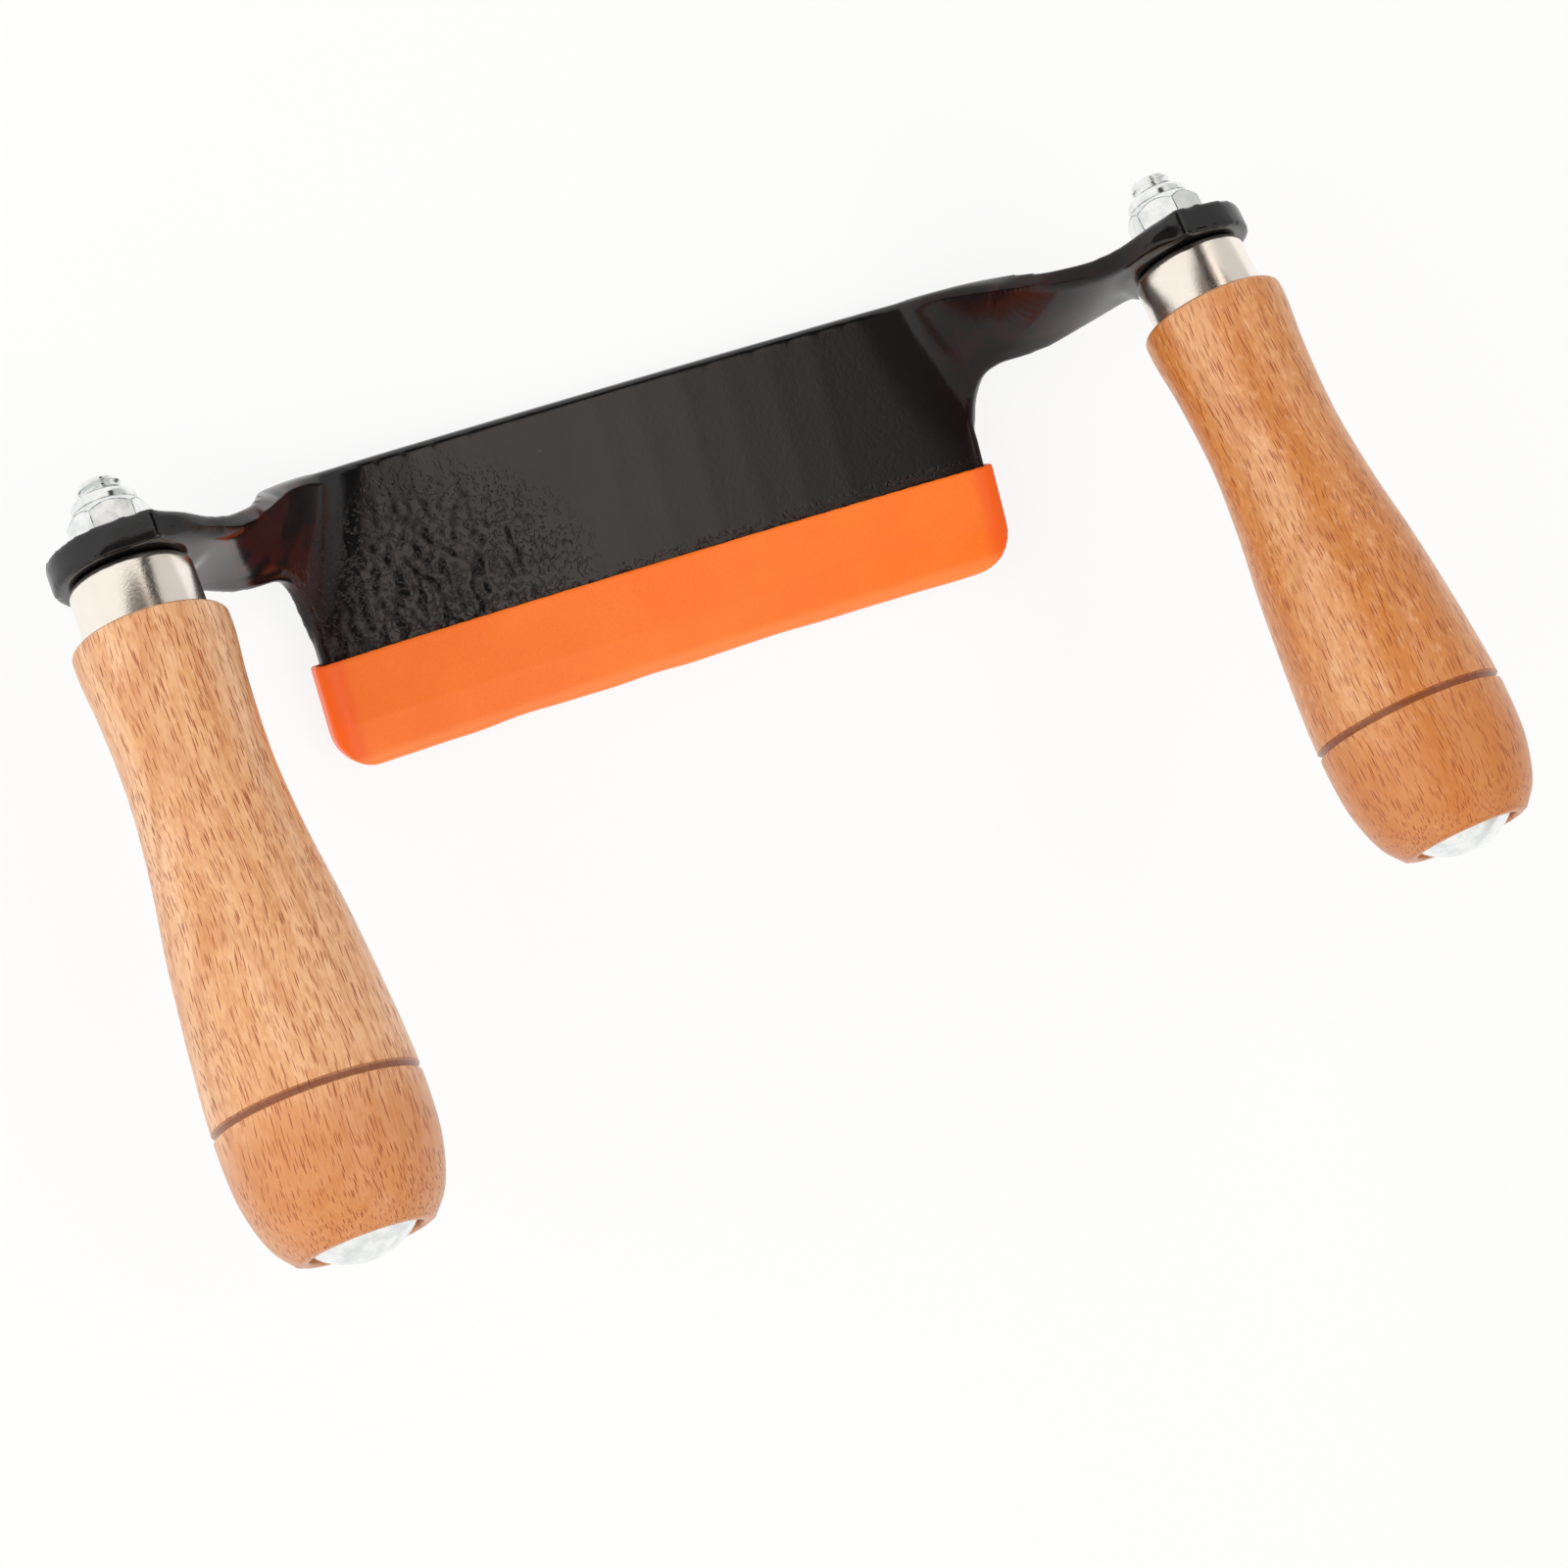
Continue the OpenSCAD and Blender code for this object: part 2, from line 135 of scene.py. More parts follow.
world = bpy.data.worlds.new("studio")
world.use_nodes = True
bpy.context.scene.world = world
tree = world.node_tree
tree.nodes.clear()
sky = add(tree, "ShaderNodeTexCoord")
parts = add(tree, "ShaderNodeSeparateXYZ", {0: sky.outputs["Generated"]})
rightward = add(tree, "ShaderNodeMath", {0: parts.outputs["X"], 1: parts.outputs["Z"]}, operation="ARCTAN2")
level = add(tree, "ShaderNodeMapRange", {"Value": rightward.outputs[0], "From Min": panel_rises[0],
                                         "From Max": panel_rises[1], "To Min": ceiling_level,
                                         "To Max": panel_level}, interpolation_type="SMOOTHSTEP")
past = add(tree, "ShaderNodeMapRange", {"Value": rightward.outputs[0], "From Min": panel_falls[0],
                                        "From Max": panel_falls[1]}, interpolation_type="SMOOTHSTEP")
level = add(tree, "ShaderNodeMix", {0: past.outputs[0], 2: level.outputs[0], 3: corner_level})
ceiling = add(tree, "ShaderNodeMapRange", {"Value": parts.outputs["Z"], "From Min": ceiling_rim[0],
                                           "From Max": ceiling_rim[1]}, interpolation_type="SMOOTHSTEP")
wall = add(tree, "ShaderNodeMapRange", {"Value": parts.outputs["X"], "From Min": 0.35, "From Max": 0.65,
                                        "To Min": wall_level, "To Max": right_wall_level},
           interpolation_type="SMOOTHSTEP")
level = add(tree, "ShaderNodeMix", {0: ceiling.outputs[0], 2: wall.outputs[0], 3: level.outputs[0]})
toward = add(tree, "ShaderNodeVectorMath", {0: sky.outputs["Generated"], 1: front_box_at}, operation="DOT_PRODUCT")
front_box = add(tree, "ShaderNodeMapRange", {"Value": toward.outputs["Value"], "From Min": front_box_rim[0],
                                             "From Max": front_box_rim[1], "To Max": front_box_level})
level = add(tree, "ShaderNodeMath", {0: level.outputs[0], 1: front_box.outputs[0]})
rays = add(tree, "ShaderNodeLightPath")
level = add(tree, "ShaderNodeMix", {0: rays.outputs["Is Camera Ray"], 2: level.outputs[0], 3: 1.0})
hue = add(tree, "ShaderNodeMix", {0: ceiling.outputs[0], 6: paint("#fffdfb"), 7: paint("#fff0e7")},
          data_type="RGBA")
dome = add(tree, "ShaderNodeBackground", {"Color": hue.outputs[2], "Strength": level.outputs[0]})
add(tree, "ShaderNodeOutputWorld", {"Surface": dome.outputs[0]})

for name, stands_at, width, power in (("left_softbox", (-0.75, 0.15, 0.75), 0.7, 3.1),
                                      ("top_softbox", (0.1, 0.1, 1.2), 1.2, 5.0)):
    softbox_data = bpy.data.lights.new(name, "AREA")
    softbox_data.size = width
    softbox_data.energy = power
    softbox = bpy.data.objects.new(name, softbox_data)
    softbox.location = stands_at
    softbox.rotation_euler = (Vector((0, 0, 0.03)) - softbox.location).to_track_quat("-Z", "Y").to_euler()
    softbox.visible_glossy = False
    softbox.visible_camera = False
    bpy.context.scene.collection.objects.link(softbox)

felt, tree = new_material("black_felt")
nap = add(tree, "ShaderNodeTexNoise", {"Vector": add(tree, "ShaderNodeTexCoord").outputs["Object"],
                                       "Scale": 1000 / 2, "Detail": 2.0})
nap = add(tree, "ShaderNodeMix", {0: nap.outputs[0], 6: paint("#161514"), 7: paint("#3a3836")}, data_type="RGBA")
nap = add(tree, "ShaderNodeBsdfDiffuse", {"Color": nap.outputs[2], "Roughness": 1.0})
add(tree, "ShaderNodeOutputMaterial", {"Surface": nap.outputs[0]})

flag_at = Vector((0.110, plate_back_y * mm + 0.321, 0.400))
flag_width, flag_height = 0.16, 0.36
flag = bmesh.new()
bmesh.ops.create_grid(flag, x_segments=1, y_segments=1, size=0.5)
bmesh.ops.scale(flag, vec=(flag_width, flag_height, 1), verts=flag.verts)
facing = (Vector((0, 0.045, 0.05)) - flag_at).to_track_quat("Z", "Y").to_matrix().to_4x4()
bmesh.ops.transform(flag, matrix=Matrix.Translation(flag_at) @ facing, verts=flag.verts)
flag = piece(flag, "flag", felt)
flag.visible_camera = False


# The blade: one steel forging, a bowed plate whose ends are drawn out into tangs that rise, twist and flatten
# into eyes. It is dipped in gloss black lacquer, which runs round every corner and keeps the skin of the forging,
# smooth on the right and pitted left of the middle. The edge is ground through the lacquer to bright steel.
ground_from_y = plate_back_y - 43.5
rim_y = plate_back_y - back_above_rim
skin_voxel, skin_rounds = 0.55, 9
pitted_at, pitted_size, pitted_fade = (-45, 24), (31, 24), (0.2, 1.25)
tang_root_at, tang_root_half = 77, (20, 9)

lacquer, tree = new_material("gloss_black_lacquer_on_forged_steel")
place = add(tree, "ShaderNodeTexCoord").outputs["Object"]
# How rough the forging is: pitted in a patch left of the middle, smooth elsewhere
patch = add(tree, "ShaderNodeVectorMath", {0: place, 1: (-pitted_at[0] * mm, -pitted_at[1] * mm, 0)})
patch = add(tree, "ShaderNodeVectorMath", {0: patch.outputs[0], 1: (1000 / pitted_size[0], 1000 / pitted_size[1], 0)},
            operation="MULTIPLY")
patch = add(tree, "ShaderNodeVectorMath", {0: patch.outputs[0]}, operation="LENGTH")
patch = add(tree, "ShaderNodeMapRange", {"Value": patch.outputs["Value"], "From Min": pitted_fade[0],
                                         "From Max": pitted_fade[1], "To Min": 1.0, "To Max": 0.02},
            interpolation_type="SMOOTHSTEP")
# A lumpy bead about 2 mm wide where the lacquer gathered along the guard
parts = add(tree, "ShaderNodeSeparateXYZ", {0: place})
above_rim = add(tree, "ShaderNodeMath", {0: parts.outputs["Y"], 1: rim_y * mm}, operation="SUBTRACT")
bead = add(tree, "ShaderNodeMapRange", {"Value": above_rim.outputs[0], "From Min": 2.4 * mm, "From Max": 0.4 * mm},
           interpolation_type="SMOOTHSTEP")
rough_here = add(tree, "ShaderNodeMath", {0: bead.outputs[0], 1: 0.5}, operation="MULTIPLY")
rough_here = add(tree, "ShaderNodeMath", {0: patch.outputs[0], 1: rough_here.outputs[0]}, operation="MAXIMUM")
# Pits 0.5 to 1 mm across with smooth walls
pits = add(tree, "ShaderNodeTexNoise", {"Vector": place, "Scale": 1000 / 1.1, "Detail": 2.0, "Roughness": 0.5})
pits = add(tree, "ShaderNodeMapRange", {"Value": pits.outputs[0], "From Min": 0.5, "From Max": 0.62},
           interpolation_type="SMOOTHSTEP")
depth = add(tree, "ShaderNodeMath", {0: pits.outputs[0], 1: rough_here.outputs[0]}, operation="MULTIPLY")
pit_bump = add(tree, "ShaderNodeBump", {"Height": depth.outputs[0], "Strength": 1.0, "Distance": 0.00018})
# The fine orange peel of the dipped coat, 0.4 mm across, and its slow waves
peel = add(tree, "ShaderNodeTexNoise", {"Vector": place, "Scale": 1000 / 0.45, "Detail": 1.0})
peel_bump = add(tree, "ShaderNodeBump", {"Height": peel.outputs[0], "Strength": 0.5, "Distance": 0.00001,
                                         "Normal": pit_bump.outputs[0]})
wave = add(tree, "ShaderNodeTexNoise", {"Vector": place, "Scale": 1000 / 12, "Detail": 1.0})
wave_bump = add(tree, "ShaderNodeBump", {"Height": wave.outputs[0], "Strength": 0.25, "Distance": 0.00008,
                                         "Normal": peel_bump.outputs[0]})
# Specks of dust that dried into the lacquer, a fifth of a millimetre across
dust = add(tree, "ShaderNodeTexVoronoi", {"Vector": place, "Scale": 1000 / 8, "Randomness": 1.0})
speck = add(tree, "ShaderNodeMapRange", {"Value": dust.outputs["Distance"], "From Min": 0.016, "From Max": 0.01})
kept = add(tree, "ShaderNodeMath", {0: dust.outputs["Color"], 1: 0.52}, operation="GREATER_THAN")
speck = add(tree, "ShaderNodeMath", {0: speck.outputs[0], 1: kept.outputs[0]}, operation="MULTIPLY")
# Painted reflections: the bead along the guard is tinted red-brown for the orange guard mirrored in the lacquer, and
# red-brown blotches on the rising tangs, where they leave the plate, stand for the wooden handles mirrored there
painted_guard_reflection = add(tree, "ShaderNodeMath", {0: bead.outputs[0], 1: pits.outputs[0]}, operation="MULTIPLY")
color = add(tree, "ShaderNodeMix", {0: painted_guard_reflection.outputs[0], 6: paint("#0b0b0c"), 7: paint("#200a07")},
            data_type="RGBA")
# Painted shade in the folds where the tangs leave the plate: the lacquer there reflects less and is tinted a faint
# red-brown
outward = add(tree, "ShaderNodeMath", {0: parts.outputs["X"]}, operation="ABSOLUTE")
root = add(tree, "ShaderNodeMath", {0: outward.outputs[0], 1: tang_root_at * mm}, operation="SUBTRACT")
root = add(tree, "ShaderNodeMath", {0: root.outputs[0]}, operation="ABSOLUTE")
root = add(tree, "ShaderNodeMapRange", {"Value": root.outputs[0], "From Min": tang_root_half[0] * mm,
                                        "From Max": tang_root_half[1] * mm}, interpolation_type="SMOOTHSTEP")
fold_shade_specular = add(tree, "ShaderNodeMapRange", {"Value": root.outputs[0], "To Min": 0.5, "To Max": 0.22})
painted_wood_reflection = add(tree, "ShaderNodeTexNoise", {"Vector": place, "Scale": 1000 / 9, "Detail": 2.0})
painted_wood_reflection = add(tree, "ShaderNodeMapRange", {"Value": painted_wood_reflection.outputs[0], "From Min": 0.45, "From Max": 0.6},
             interpolation_type="SMOOTHSTEP")
left = add(tree, "ShaderNodeMapRange", {"Value": parts.outputs["X"], "From Min": 0.01, "From Max": -0.01,
                                        "To Min": 0.35})
risen = add(tree, "ShaderNodeMapRange", {"Value": parts.outputs["Z"], "From Min": 10 * mm, "From Max": 17 * mm})
for share in (left, risen, root):
    painted_wood_reflection = add(tree, "ShaderNodeMath", {0: painted_wood_reflection.outputs[0], 1: share.outputs[0]}, operation="MULTIPLY")
# Over the black go the painted shade of the folds, the painted reflection of the handles, and real specks of dust
for share, tint in ((root, "#110b0b"), (painted_wood_reflection, "#36100b"), (speck, "#8d8a86")):
    color = add(tree, "ShaderNodeMix", {0: share.outputs[0], 6: color.outputs[2], 7: paint(tint)},
                data_type="RGBA")
cloud = add(tree, "ShaderNodeTexNoise", {"Vector": place, "Scale": 1000 / 16, "Detail": 2.0})
satin = add(tree, "ShaderNodeMapRange", {"Value": cloud.outputs[0], "From Min": 0.3, "From Max": 0.7,
                                         "To Min": 0.13, "To Max": 0.19})
coat = add(tree, "ShaderNodeBsdfPrincipled", {"Base Color": color.outputs[2], "Roughness": satin.outputs[0],
                                              "IOR": 1.54, "Specular IOR Level": fold_shade_specular.outputs[0],
                                              "Normal": wave_bump.outputs[0]})
# Bright steel where the edge was ground, with the grinder's lines across it, drawn 0.25 mm apart to show
grind = add(tree, "ShaderNodeVectorMath", {0: place, 1: (1, 0.02, 0.02)}, operation="MULTIPLY")
grind = add(tree, "ShaderNodeTexNoise", {"Vector": grind.outputs[0], "Scale": 1000 / 0.25, "Detail": 3.0})
grind_bump = add(tree, "ShaderNodeBump", {"Height": grind.outputs[0], "Strength": 0.4, "Distance": 0.00002})
shade = add(tree, "ShaderNodeMix", {0: grind.outputs[0], 6: paint("#cfcfcd"), 7: paint("#a9a9a8")},
            data_type="RGBA")
ground = add(tree, "ShaderNodeBsdfPrincipled", {"Base Color": shade.outputs[2], "Metallic": 1.0, "Roughness": 0.3,
                                                "Normal": grind_bump.outputs[0]})
wander = add(tree, "ShaderNodeTexNoise", {"Vector": place, "Scale": 1000 / 9, "Detail": 2.0})
line = add(tree, "ShaderNodeMath", {0: wander.outputs[0], 1: 0.0012, 2: (ground_from_y - 0.6) * mm},
           operation="MULTIPLY_ADD")
bare = add(tree, "ShaderNodeMath", {0: parts.outputs["Y"], 1: line.outputs[0]}, operation="LESS_THAN")
both = add(tree, "ShaderNodeMixShader", {0: bare.outputs[0], 1: coat.outputs[0], 2: ground.outputs[0]})
add(tree, "ShaderNodeOutputMaterial", {"Surface": both.outputs[0]})


def settled(thing):
    """Applies a piece's modifiers for good."""
    depsgraph = bpy.context.evaluated_depsgraph_get()
    finished = bpy.data.meshes.new_from_object(thing.evaluated_get(depsgraph))
    thing.modifiers.clear()
    old, thing.data = thing.data, finished
    bpy.data.meshes.remove(old)
    thing.data.shade_smooth()


def reskinned(node, name, material, voxel, rounds):
    """A copy of a CAD node with an even, softened skin: every corner gets the small rounding of a coat."""
    shape = bmesh.new()
    shape.from_mesh(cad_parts[node].data)
    bmesh.ops.remove_doubles(shape, verts=shape.verts, dist=0.01 * mm)
    thing = piece(shape, name, material)
    skin = thing.modifiers.new("skin", "REMESH")
    skin.mode = "VOXEL"
    skin.voxel_size = voxel * mm
    soften = thing.modifiers.new("soften", "SMOOTH")
    soften.factor = 0.5
    soften.iterations = rounds
    settled(thing)
    return thing


def ramp(value, start, end):
    """0 before start, 1 after end, and a smooth rise between."""
    share = min(1.0, max(0.0, (value - start) / (end - start)))
    return share * share * (3 - 2 * share)


def neighbours(reach):
    """Steps to the cells within a distance, with a weight that fades with it."""
    spread = 2 * (reach / 2.2) ** 2
    return [(i, j, math.exp(-(i * i + j * j) / spread)) for i in range(-reach, reach + 1)
            for j in range(-reach, reach + 1) if i * i + j * j <= reach * reach]


def forged_over(heights, reach):
    """Each height on the grid, 2 mm in from the outline, gives way to the plane that fits those around it best."""
    over = ~np.isnan(heights)
    known = np.all([np.roll(over, (i, j), (0, 1)) for i, j, weight in neighbours(2)], axis=0)
    heights = np.where(known, heights, np.nan)
    sums = np.zeros(heights.shape + (3, 3))
    right = np.zeros(heights.shape + (3,))
    for i, j, weight in neighbours(reach):
        beside = np.roll(known, (-i, -j), (0, 1)) * weight
        basis = np.array([1.0, i, j])
        sums += beside[..., None, None] * np.outer(basis, basis)
        right += (beside * np.roll(np.nan_to_num(heights), (-i, -j), (0, 1)))[..., None] * basis
    fitted = np.linalg.solve(sums + np.eye(3) * 1e-6, right[..., None])[..., 0, 0]
    return np.where(known, fitted - np.nan_to_num(heights), np.nan)


blade = reskinned("blade", "forged_blade", lacquer, skin_voxel, skin_rounds)
# A hammered fold is round, so where each tang leaves the plate the skin is evened out over about 10 mm.
# Heights are read on a grid of 1 mm, and both faces move together, so the steel keeps its thickness.
fold_inner, fold_outer, fold_reach = 40, 96, 11
full_from, full_to, above_back, ray_from = 50, 74, 8, 90
skin = bmesh.new()
skin.from_mesh(blade.data)
surface = BVHTree.FromBMesh(skin)
skin.free()
for side in (-1, 1):
    outs = range(fold_inner - fold_reach, fold_outer + fold_reach)
    ups = range(-fold_reach, int(plate_back_y) + above_back + fold_reach)
    hits = [[surface.ray_cast(Vector((side * x, y, ray_from)) * mm, (0, 0, -1))[0] for y in ups] for x in outs]
    heights = np.array([[hit.z / mm if hit else math.nan for hit in row] for row in hits])
    change = forged_over(heights, fold_reach)
    spread = sum(np.roll(np.nan_to_num(change), (i, j), (0, 1)) * weight for i, j, weight in neighbours(3))
    count = sum(np.roll(~np.isnan(change), (i, j), (0, 1)) * weight for i, j, weight in neighbours(3))
    change = np.where(np.isnan(change), spread / np.maximum(count, 1e-6), change)
    for vertex in blade.data.vertices:
        out, up = side * vertex.co.x / mm - outs[0], vertex.co.y / mm - ups[0]
        share = ramp(out + outs[0], fold_inner, full_from) * (1 - ramp(out + outs[0], full_to, fold_outer - 4))
        if share > 0 and 0 <= up < len(ups) - 1:
            i, j = int(out), int(up)
            u, v = out - i, up - j
            lift = ((change[i, j] * (1 - u) + change[i + 1, j] * u) * (1 - v)
                    + (change[i, j + 1] * (1 - u) + change[i + 1, j + 1] * u) * v)
            vertex.co.z += share * lift * mm
blade.data.update()
# The hammer also blended each tang into its eye
eye_from, eye_to = (82, 88), (96, 101)
eye_joint = blade.vertex_groups.new(name="eye_joint")
for vertex in blade.data.vertices:
    out = abs(vertex.co.x) / mm
    share = ramp(out, *eye_from) * (1 - ramp(out, *eye_to))
    if share > 0:
        eye_joint.add([vertex.index], share, "REPLACE")
for name, rounds in (("ease", 6), ("blend", 22)):
    ease = blade.modifiers.new(name, "SMOOTH")
    ease.factor = 0.5
    ease.iterations = rounds
blade.modifiers["blend"].vertex_group = "eye_joint"
settled(blade)
# The steel at the cutting edge is thinner than a voxel, which leaves it ragged. Its last 3 mm are drawn out again
# to the straight line of the grinding, as far as the round corners of the plate.
edge_y, drawn_out, straight_to, corner_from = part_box("blade")[0][1] / mm, 3, 59, 63
places = np.empty(len(blade.data.vertices) * 3, np.float32)
blade.data.vertices.foreach_get("co", places)
places = places.reshape(-1, 3) / mm
columns = np.arange(-corner_from, corner_from + skin_voxel, skin_voxel)
for again in range(3):
    column = np.digitize(places[:, 0], columns - skin_voxel / 2) - 1
    lowest = np.array([places[column == k, 1].min() for k in range(len(columns))])
    low_here = np.interp(places[:, 0], columns, lowest)
    near = np.clip(1 - (places[:, 1] - low_here) / drawn_out, 0, 1)
    near *= np.clip((corner_from - abs(places[:, 0])) / (corner_from - straight_to), 0, 1)
    places[:, 1] += near * (edge_y - low_here)
blade.data.vertices.foreach_set("co", (places * mm).ravel().astype(np.float32))
blade.data.update()
# The scale that was hammered into the forging left dents 2 mm across in the same patch as the pits
dent_size, dent_depth = 1.9, 0.2
faces_up = [ramp(vertex.normal.z, 0.6, 0.9) for vertex in blade.data.vertices]
for vertex, share in zip(blade.data.vertices, faces_up):
    x, y, z = vertex.co / mm
    off = math.hypot((x - pitted_at[0]) / pitted_size[0], (y - pitted_at[1]) / pitted_size[1])
    share *= 1 - ramp(off, *pitted_fade)
    if share > 0:
        vertex.co.z += share * dent_depth * noise.noise(Vector((x, y, z)) / dent_size) * mm
blade.data.update()
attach(blade, "knife")
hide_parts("blade")


# The handles: turned beech, one block each, with a tenon for the ferrule, a waist, a swell with a burnt groove
# round it, and a seat for the bolt's head. They are varnished satin, so the rays of the beech show as fine
# dark flecks along the grain.
def smooth_line(points, steps):
    """A smooth line through the points, with so many steps between two of them."""
    ends = [2 * points[0] - points[1]] + points + [2 * points[-1] - points[-2]]
    line = []
    for a, b, c, d in zip(ends, ends[1:], ends[2:], ends[3:]):
        for k in range(steps):
            u = k / steps
            line.append(0.5 * (2 * b + (c - a) * u + (2 * a - 5 * b + 4 * c - d) * u ** 2
                               + (3 * b - a - 3 * c + d) * u ** 3))
    return line + [points[-1]]


def turned(profile, steps=192):
    """A profile of (radius, height) points turned once about the Z axis, in millimetres."""
    shape = bmesh.new()
    points = [shape.verts.new((radius, 0, height)) for radius, height in profile]
    edges = [shape.edges.new(pair) for pair in zip(points, points[1:])]
    bmesh.ops.spin(shape, geom=points + edges, cent=(0, 0, 0), axis=(0, 0, 1), angle=2 * math.pi,
                   steps=steps, use_merge=True)
    bmesh.ops.remove_doubles(shape, verts=shape.verts, dist=0.001)
    bmesh.ops.recalc_face_normals(shape, faces=shape.faces)
    return shape


def corner(center, radius, start, end, steps=6):
    """Points of a rounded corner of a profile, from one angle to another in degrees."""
    angles = [math.radians(start + (end - start) * k / steps) for k in range(steps + 1)]
    return [(center[0] + radius * math.cos(a), center[1] + radius * math.sin(a)) for a in angles]


def at_handle(side):
    """Places millimetres on a handle: the middle of the ferrule's top, with +Z running down the grip."""
    return (Matrix.Translation((side * 104.8 * mm, (plate_back_y - 7.4) * mm, 48.65 * mm))
            @ Matrix.Rotation(math.radians(66), 4, "X") @ Matrix.Rotation(math.radians(side), 4, "Y")
            @ Matrix.Scale(mm, 4))


def handle_place(tree, side, turn, shift):
    """Coordinates on a handle, in metres: Z down the grip, X square to the growth rings."""
    home = at_handle(side) @ Matrix.Rotation(math.radians(turn), 4, "Z")
    coordinates = add(tree, "ShaderNodeTexCoord").outputs["Object"]
    local = add(tree, "ShaderNodeMapping", {"Vector": coordinates, "Location": home.translation,
                                            "Rotation": home.to_euler()}, vector_type="TEXTURE")
    return local.outputs[0], add(tree, "ShaderNodeVectorMath", {0: local.outputs[0], 1: shift}).outputs[0]


wood_top, wood_len = 9.4, 111.2
groove_at, groove_depth, groove_half = wood_top + 0.78 * wood_len, 0.6, 0.75


def beech(name, side, turn, shift, streak, pale_wood):
    """Steamed beech under satin varnish: pinkish tan, with dark ray flecks about 3 mm long and 0.2 mm wide."""
    material, tree = new_material(name)
    local, block = handle_place(tree, side, turn, shift)
    warp = add(tree, "ShaderNodeTexNoise", {"Vector": block, "Scale": 1000 / 30, "Detail": 1.0})
    grain = add(tree, "ShaderNodeVectorMath", {0: warp.outputs["Color"], 1: (0.004, 0.004, 0), 2: block},
                operation="MULTIPLY_ADD").outputs[0]
    # Slow changes of tone, in streaks as long as the grip
    slow = add(tree, "ShaderNodeVectorMath", {0: grain, 1: (1, 1, 0.09)}, operation="MULTIPLY").outputs[0]
    tone = add(tree, "ShaderNodeTexNoise", {"Vector": slow, "Scale": 1000 / 8, "Detail": 2.0})
    tone = add(tree, "ShaderNodeMapRange", {"Value": tone.outputs[0], "From Min": 0.35, "From Max": 0.66,
                                            "To Max": 0.65 + 0.35 * streak})
    color = add(tree, "ShaderNodeMix", {0: tone.outputs[0], 6: paint(pale_wood), 7: paint("#d69454")},
                data_type="RGBA")
    band = add(tree, "ShaderNodeTexNoise", {"Vector": slow, "Scale": 1000 / 13, "Detail": 1.0})
    band = add(tree, "ShaderNodeMapRange", {"Value": band.outputs[0], "From Min": 0.44, "From Max": 0.62,
                                            "To Max": streak})
    # A soft mottle of pinkish and tan cells 1 to 3 mm across
    mottle = add(tree, "ShaderNodeVectorMath", {0: grain, 1: (1, 1, 0.45)}, operation="MULTIPLY").outputs[0]
    mottle = add(tree, "ShaderNodeTexNoise", {"Vector": mottle, "Scale": 1000 / 1.1, "Detail": 3.0,
                                              "Roughness": 0.6})
    deep = add(tree, "ShaderNodeMapRange", {"Value": mottle.outputs[0], "From Min": 0.5, "From Max": 0.7,
                                            "To Max": 0.45})
    pale = add(tree, "ShaderNodeMapRange", {"Value": mottle.outputs[0], "From Min": 0.48, "From Max": 0.3,
                                            "To Max": 0.35})
    # Growth rings about 3 mm apart, faint because the wood was sawn along them
    rings = add(tree, "ShaderNodeVectorMath", {0: grain, 1: (0.045, 0.004, 0)}).outputs[0]
    rings = add(tree, "ShaderNodeTexWave", {"Vector": rings, "Scale": 2 * math.pi / 20 * 1000 / 3.2,
                                            "Distortion": 1.2, "Detail": 2.0, "Detail Scale": 0.6},
                wave_type="RINGS", rings_direction="Z")
    rings = add(tree, "ShaderNodeMapRange", {"Value": rings.outputs["Fac"], "From Min": 0.7, "From Max": 1,
                                             "To Max": 0.3})
    # Fine fibre
    fibre = add(tree, "ShaderNodeVectorMath", {0: grain, 1: (1, 1, 0.06)}, operation="MULTIPLY").outputs[0]
    fibre = add(tree, "ShaderNodeTexNoise", {"Vector": fibre, "Scale": 1000 / 0.45, "Detail": 3.0})
    fibre_dark = add(tree, "ShaderNodeMapRange", {"Value": fibre.outputs[0], "From Min": 0.48, "From Max": 0.75,
                                                  "To Max": 0.5})
    # Ray flecks, three sizes of them: long narrow cells, most of which hold one fleck
    flecks = None
    for width, length, offset, share in ((0.38, 8, (0, 0, 0), 0.1), (0.32, 6, (0.0004, 0.0007, 0.003), 0.15),
                                         (0.46, 7, (0.0011, 0.0002, 0.001), 0.1)):
        cells = add(tree, "ShaderNodeVectorMath", {0: grain, 1: offset}).outputs[0]
        cells = add(tree, "ShaderNodeVectorMath", {0: cells, 1: (1000 / 1.5, 1000 / width, 1000 / length)},
                    operation="MULTIPLY").outputs[0]
        cells = add(tree, "ShaderNodeTexVoronoi", {"Vector": cells, "Scale": 1.0, "Randomness": 0.85})
        fleck = add(tree, "ShaderNodeMapRange", {"Value": cells.outputs["Distance"], "From Min": 0.26,
                                                 "From Max": 0.18}, interpolation_type="SMOOTHSTEP")
        chosen = add(tree, "ShaderNodeMapRange", {"Value": cells.outputs["Color"], "From Min": share,
                                                  "From Max": share + 0.3, "To Max": 0.85})
        fleck = add(tree, "ShaderNodeMath", {0: fleck.outputs[0], 1: chosen.outputs[0]}, operation="MULTIPLY")
        if flecks is not None:
            fleck = add(tree, "ShaderNodeMath", {0: flecks.outputs[0], 1: fleck.outputs[0]}, operation="MAXIMUM")
        flecks = fleck
    # Painted shade: the grip is painted darker and more saturated towards its knob, where its surface turns away from
    # the light and shows less sheen
    along = add(tree, "ShaderNodeSeparateXYZ", {0: local}).outputs["Z"]
    knob_painted_shade = add(tree, "ShaderNodeMapRange", {"Value": along, "From Min": (groove_at - 6) * mm,
                                             "From Max": (groove_at + 10) * mm, "To Max": 0.65},
                interpolation_type="SMOOTHSTEP")
